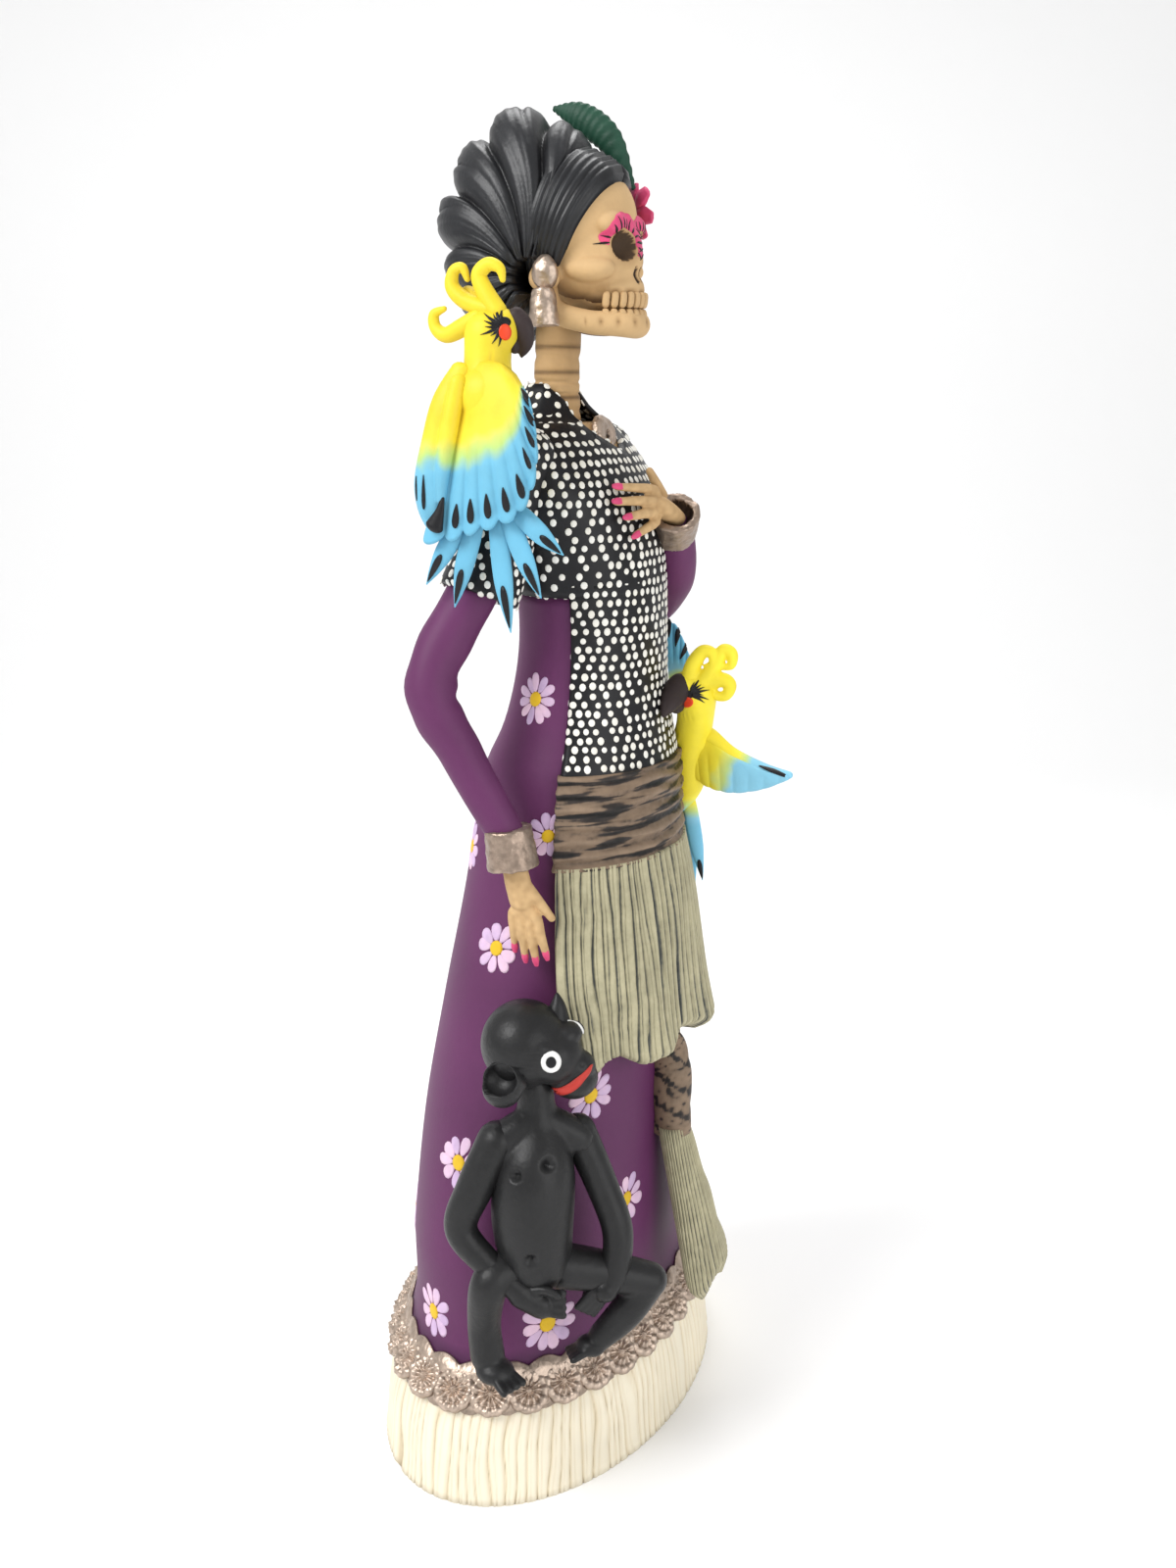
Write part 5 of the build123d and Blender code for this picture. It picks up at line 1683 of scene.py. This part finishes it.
def monkey():
    """Long-limbed monkey perched on the right of the skirt."""
    def torso_shape(points, normals):
        for near in ((-84, -25.0, 126.5), (-79, -37.6, 131.0), (-85, -32.0, 96.5)):
            spot = points[np.linalg.norm(points - near, axis=1).argmin()].copy()
            points = press(points, normals, spot, (3.4, 2.6, 2.6), 2.8, 1.0)
            points = press(points, normals, spot, (5.0, 1.2, 1.2), -1.2, 1.0)
        return points

    monkey_skin("monkey_belly", "monkey_torso", [
        tube([(-70.5, -27, 91), (-71, -26, 106), (-69, -26, 121), (-66, -25.6, 131), (-65, -25, 139),
              (-64.5, -24, 149)], [11.8, 13.6, 13.2, 10.4, 6.8, 6.0], sides=44, steps=8),
        limb([(-75, -14.5, 131), (-70, -20, 134.5), (-66, -25, 138), (-62, -31, 135), (-59, -37, 131)],
             [6.0, 6.2, 5.6, 5.8, 5.4]),
        ball((-73.5, -26, 100), (9.8, 12.2, 12.5), fine=3)], torso_shape, smooth=14)
    monkey_face()

    monkey_skin("monkey_arm_near", "monkey_arm_right", [
        limb([(-74, -15, 132), (-79.5, -9.5, 117), (-82.5, -5.5, 103), (-82, -14, 92.5), (-80, -26, 83)],
             [6.8, 6.2, 5.5, 4.8, 4.2]),
        tube([(-80, -26, 82), (-77.5, -32, 78.5)], [4.4, 4.6], sides=28, steps=6),
        *fingers((-77.5, -32, 79), (-76.5, -39.6, 80.0), (0.2, 0.1, 1), 2.2, 1.45),
        thumb([(-79.5, -29, 84), (-79, -34.5, 85.2), (-78.4, -38.6, 83.8)], [1.9, 1.6, 1.2])],
        voxel=0.55)
    monkey_skin("monkey_arm_far", "monkey_arm_left", [
        limb([(-57, -36, 132), (-56, -44, 114), (-56.5, -50, 99), (-59.5, -50.5, 86), (-62, -49, 81)],
             [6.0, 5.4, 5.2, 4.8, 4.2]),
        ball((-63, -48.5, 80), (4.2, 4.4, 4.4), fine=3),
        *fingers((-63.5, -48, 80), (-66.5, -42.8, 72.5), (0.5, -0.55, -0.5), 2.0, 1.35),
        thumb([(-62, -46, 83), (-64, -43, 79), (-65, -41.8, 76)], [1.8, 1.5, 1.1])],
        voxel=0.55)
    monkey_skin("monkey_leg_near", "monkey_leg_right", [
        limb([(-71, -23, 87), (-80, -18.5, 88), (-84, -16, 84), (-82.5, -13.5, 70), (-82.5, -14.5, 58)],
             [7.6, 7.0, 6.4, 5.6, 5.8]),
        ball((-84, -18, 54), (6.0, 6.6, 4.2), fine=3),
        *fingers((-85, -21, 53.5), (-87.2, -26.4, 51.8), (-0.9, 0.35, 0), 2.4, 1.6)],
        voxel=0.6)
    monkey_skin("monkey_leg_far", "monkey_leg_left", [
        limb([(-67, -34, 87.5), (-58, -48, 83.5), (-51, -59.5, 79.5)], [7.8, 6.8, 6.0]),
        limb([(-51, -59.5, 79.5), (-55.5, -53, 68.5), (-60, -46, 60)], [5.8, 5.8, 4.6]),
        ball((-62.5, -43, 57), (4.2, 5.2, 3.6), fine=3),
        *fingers((-64, -41.5, 56.5), (-67, -37.5, 54.6), (0.6, 0.5, 0), 2.0, 1.35)],
        voxel=0.6)


def monkey_face():
    """Head with folds and pressed nose, ears, painted eyes and a red mouth."""
    def head_shape(points, normals):
        for k in range(4):
            spot = (-77 + 0.8 * k, -25.4 - 1.1 * k, 160.6 + 1.7 * k + 0.2 * np.sin(k * 1.3))
            points = press(points, normals, spot, (6, 4.6, 0.95), 0.85, 1.0)
        points = press(points, normals, (-70.5, -36.5, 160.0), (5, 2.2, 1.5), 1.0)
        points = press(points, normals, (-66, -41.6, 160.0), (2.0, 1.2, 1.2), 1.4, 1.0)
        return press(points, normals, (-69, -33.6, 162.6), (4.6, 4.2, 4.2), 0.9)

    tree = monkey_skin("monkey_face", "monkey_head", [
        ball((-65, -20.6, 163.6), (14.2, 14.0, 14.4), fine=4),
        ball((-64, -30.5, 161), (10.4, 9.6, 9.4), fine=3),
        ball((-60.5, -36.2, 152.6), (8.4, 7.8, 6.6), fine=3),
        ball((-61, -37.5, 157), (6.4, 6.0, 5.6), fine=3),
        ball((-71.5, -27, 166), (4.6, 6.5, 4.0), fine=3),
        ball((-61, -34.5, 168), (5.4, 4.6, 3.6), fine=3)], head_shape)

    def cup(points, normals):
        return hollow(points, (-81.6, -19.8, 157.4), (5.4, 6.0, 5.3), (0.85, -0.1, -0.4))[0]

    monkey_skin("monkey_ear_pair", "monkey_ears", [
        tube([(-74, -20.5, 160), (-77, -20, 156.5), (-79.5, -20, 154)], [4.6, 7.2, 6.6], sides=36,
             steps=8, flat=0.95),
        tube([(-57, -28.6, 170), (-56.4, -28.6, 175), (-56, -28.2, 178.2)], [4.4, 2.6, 0.9], sides=20,
             steps=6)], cup, voxel=0.5)

    near_eye = ((-72, -33.4, 162.8), (-0.86, -0.48, 0.12))
    far_eye = ((-57, -37.0, 169.4), (-0.2, -0.96, 0.15))
    whites = [laid_on(tree, *near_eye, disc(3.2, 26, 1.05), 0.42, wrap=True),
              laid_on(tree, *far_eye, disc(2.3, 22, 1.1), 0.42, wrap=True)]
    piece("monkey_eyes", join_meshes(whites), EYE_WHITE, tint=0.1)
    pupils = [laid_on(tree, *near_eye, disc(1.55, 22, 1.1), 0.72, wrap=True),
              laid_on(tree, *far_eye, disc(1.2, 20, 1.1), 0.72, wrap=True)]
    piece("monkey_pupils", join_meshes(pupils), BLACK)
    rows = []
    for t in np.linspace(-1, 1, 19):
        half = 1.75 * math.sqrt(max(0.0, 1 - t * t)) + 0.05
        middle_line = 4.9 * t - 0.7 * (1 - t * t)
        rows.append([(7.2 * t, middle_line + half * v) for v in (-1, -0.4, 0.3, 0.9)])
    lips = laid_on(tree, (-67, -38.2, 154.0), (-0.82, -0.56, 0), rows, 0.35)
    piece("monkey_mouth", lips, MOUTH_RED)


# ---- floor, light and camera ---------------------------------------------------------
# The camera stands at EYE and looks along HEADING, PITCH below level.
EYE = Vector((-484.4, -229.9, 373.0)) * MM
HEADING = (0.9135, 0.4067, 0)
PITCH = math.radians(14.708)


def plain(name, colour, rough):
    """Even paint with a slight mottle."""
    material = bpy.data.materials.new(name)
    material.use_nodes = True
    shader = material.node_tree.nodes["Principled BSDF"]
    shader.inputs["Roughness"].default_value = rough
    place = material.node_tree.nodes.new("ShaderNodeTexNoise")
    place.inputs["Scale"].default_value = 3.0
    ramp = material.node_tree.nodes.new("ShaderNodeValToRGB")
    ramp.color_ramp.elements[0].color = (*[c * 0.985 for c in colour], 1)
    ramp.color_ramp.elements[1].color = (*colour, 1)
    material.node_tree.links.new(place.outputs["Fac"], ramp.inputs[0])
    material.node_tree.links.new(ramp.outputs[0], shader.inputs["Base Color"])
    return material


def stage():
    """Pale floor that curves up into a backdrop."""
    away = unit(HEADING)
    side = np.array([-away[1], away[0], 0])
    profile = [(-1500, 0)] + [(900 + 500 * math.sin(t), 500 - 500 * math.cos(t))
                              for t in np.linspace(0, math.pi / 2, 16)] + [(1400, 2400)]
    points, faces = [], []
    for reach in (-3000, 3000):
        points.extend([(away * d + side * reach + np.array([0, 0, h])) * MM for d, h in profile])
    count = len(profile)
    for i in range(count - 1):
        faces.append((i, i + 1, count + i + 1, count + i))
    mesh = bpy.data.meshes.new("floor")
    mesh.from_pydata([tuple(p) for p in points], [], faces)
    mesh.polygons.foreach_set("use_smooth", [True] * len(faces))
    floor = bpy.data.objects.new("floor", mesh)
    floor.data.materials.append(plain("floor_paint", (0.93, 0.93, 0.93), 0.7))
    bpy.context.scene.collection.objects.link(floor)


def lamp(name, place, target, size, watts):
    """Round soft light at place, turned to target."""
    light = bpy.data.lights.new(name, "AREA")
    light.shape = "DISK"
    light.size = size
    light.energy = watts
    obj = bpy.data.objects.new(name, light)
    bpy.context.scene.collection.objects.link(obj)
    obj.location = Vector(place)
    obj.rotation_mode = "QUATERNION"
    obj.rotation_quaternion = (Vector(target) - Vector(place)).to_track_quat("-Z", "Y")


def studio():
    """Soft key from the upper left of the view, weak fill, bright surround, and the camera."""
    world = bpy.data.worlds.new("studio")
    world.use_nodes = True
    world.node_tree.nodes["Background"].inputs[0].default_value = (1, 1, 1, 1)
    world.node_tree.nodes["Background"].inputs[1].default_value = 0.62
    bpy.context.scene.world = world
    bpy.context.scene.view_settings.view_transform = "Standard"
    heading = Vector(HEADING)
    left = Vector((-heading.y, heading.x, 0))
    centre = Vector((0, 0, 0.24))
    lamp("key", centre + left * 0.75 - heading * 0.55 + Vector((0, 0, 0.75)), centre, 0.7, 11.5)
    lamp("fill", centre - left * 0.8 - heading * 0.9 + Vector((0, 0, 0.25)), centre, 1.0, 5.0)
    lamp("back", centre + heading * 0.5 + Vector((0, 0, 1.1)), centre, 0.8, 7.0)
    camera = bpy.data.cameras.new("camera")
    camera.lens = 36.0
    camera.sensor_width = 36.0
    camera.clip_start = 0.02
    camera.clip_end = 20
    view = bpy.data.objects.new("camera", camera)
    bpy.context.scene.collection.objects.link(view)
    view.location = EYE
    view.rotation_mode = "QUATERNION"
    ahead = heading * math.cos(PITCH) - Vector((0, 0, math.sin(PITCH)))
    view.rotation_quaternion = ahead.to_track_quat("-Z", "Y")
    bpy.context.scene.camera = view


stage()
studio()
petticoat()
dress()
daisies()
lace_strip()
lace_flowers()
blouse = [
    blouse_chest(),
    blouse_front(),
    cap_sleeve("sleeve_cap_right", "cap_sleeve_right", (-31, -6, 346), (-45, 3.5, 305), (10.5, 13.0)),
    cap_sleeve("sleeve_cap_left", "cap_sleeve_left", (31, -6, 346), (45, 0.5, 305), (10.5, 13.0)),
]
paint_dots(blouse)
sash()
fringe_skirt()
fringe_knot()
fringe_fan()
eye_paint(skull())
jawbone()
teeth("teeth_upper", "upper_teeth", 395.2, 13.6, 2.5, 1)
teeth("teeth_lower", "lower_teeth", 390.3, 13.4, 2.3, -1)
neck()
bare_chest()
combed_hair(-1, "hair_front_right", "hair_band_right")
combed_hair(1, "hair_front_left", "hair_band_left")
hair_rolls()
leaves()
flower()
jewellery()
arms()
shoulder_parrot()
hip_parrot()
monkey()

# The wire shows its CAD mesh; the other nodes are hidden and get plain clay.
WIRE = painted("wire_steel", [(0.0, (0.5, 0.5, 0.52)), (1.0, (0.3, 0.3, 0.32))], rough=0.35, metal=0.9)
CLAY = painted("plain_clay", [(0.0, (0.45, 0.33, 0.22)), (1.0, (0.3, 0.2, 0.12))], rough=0.7)
for name, obj in nodes.items():
    obj.data.materials.clear()
    obj.data.materials.append(WIRE if "pin" in name else CLAY)
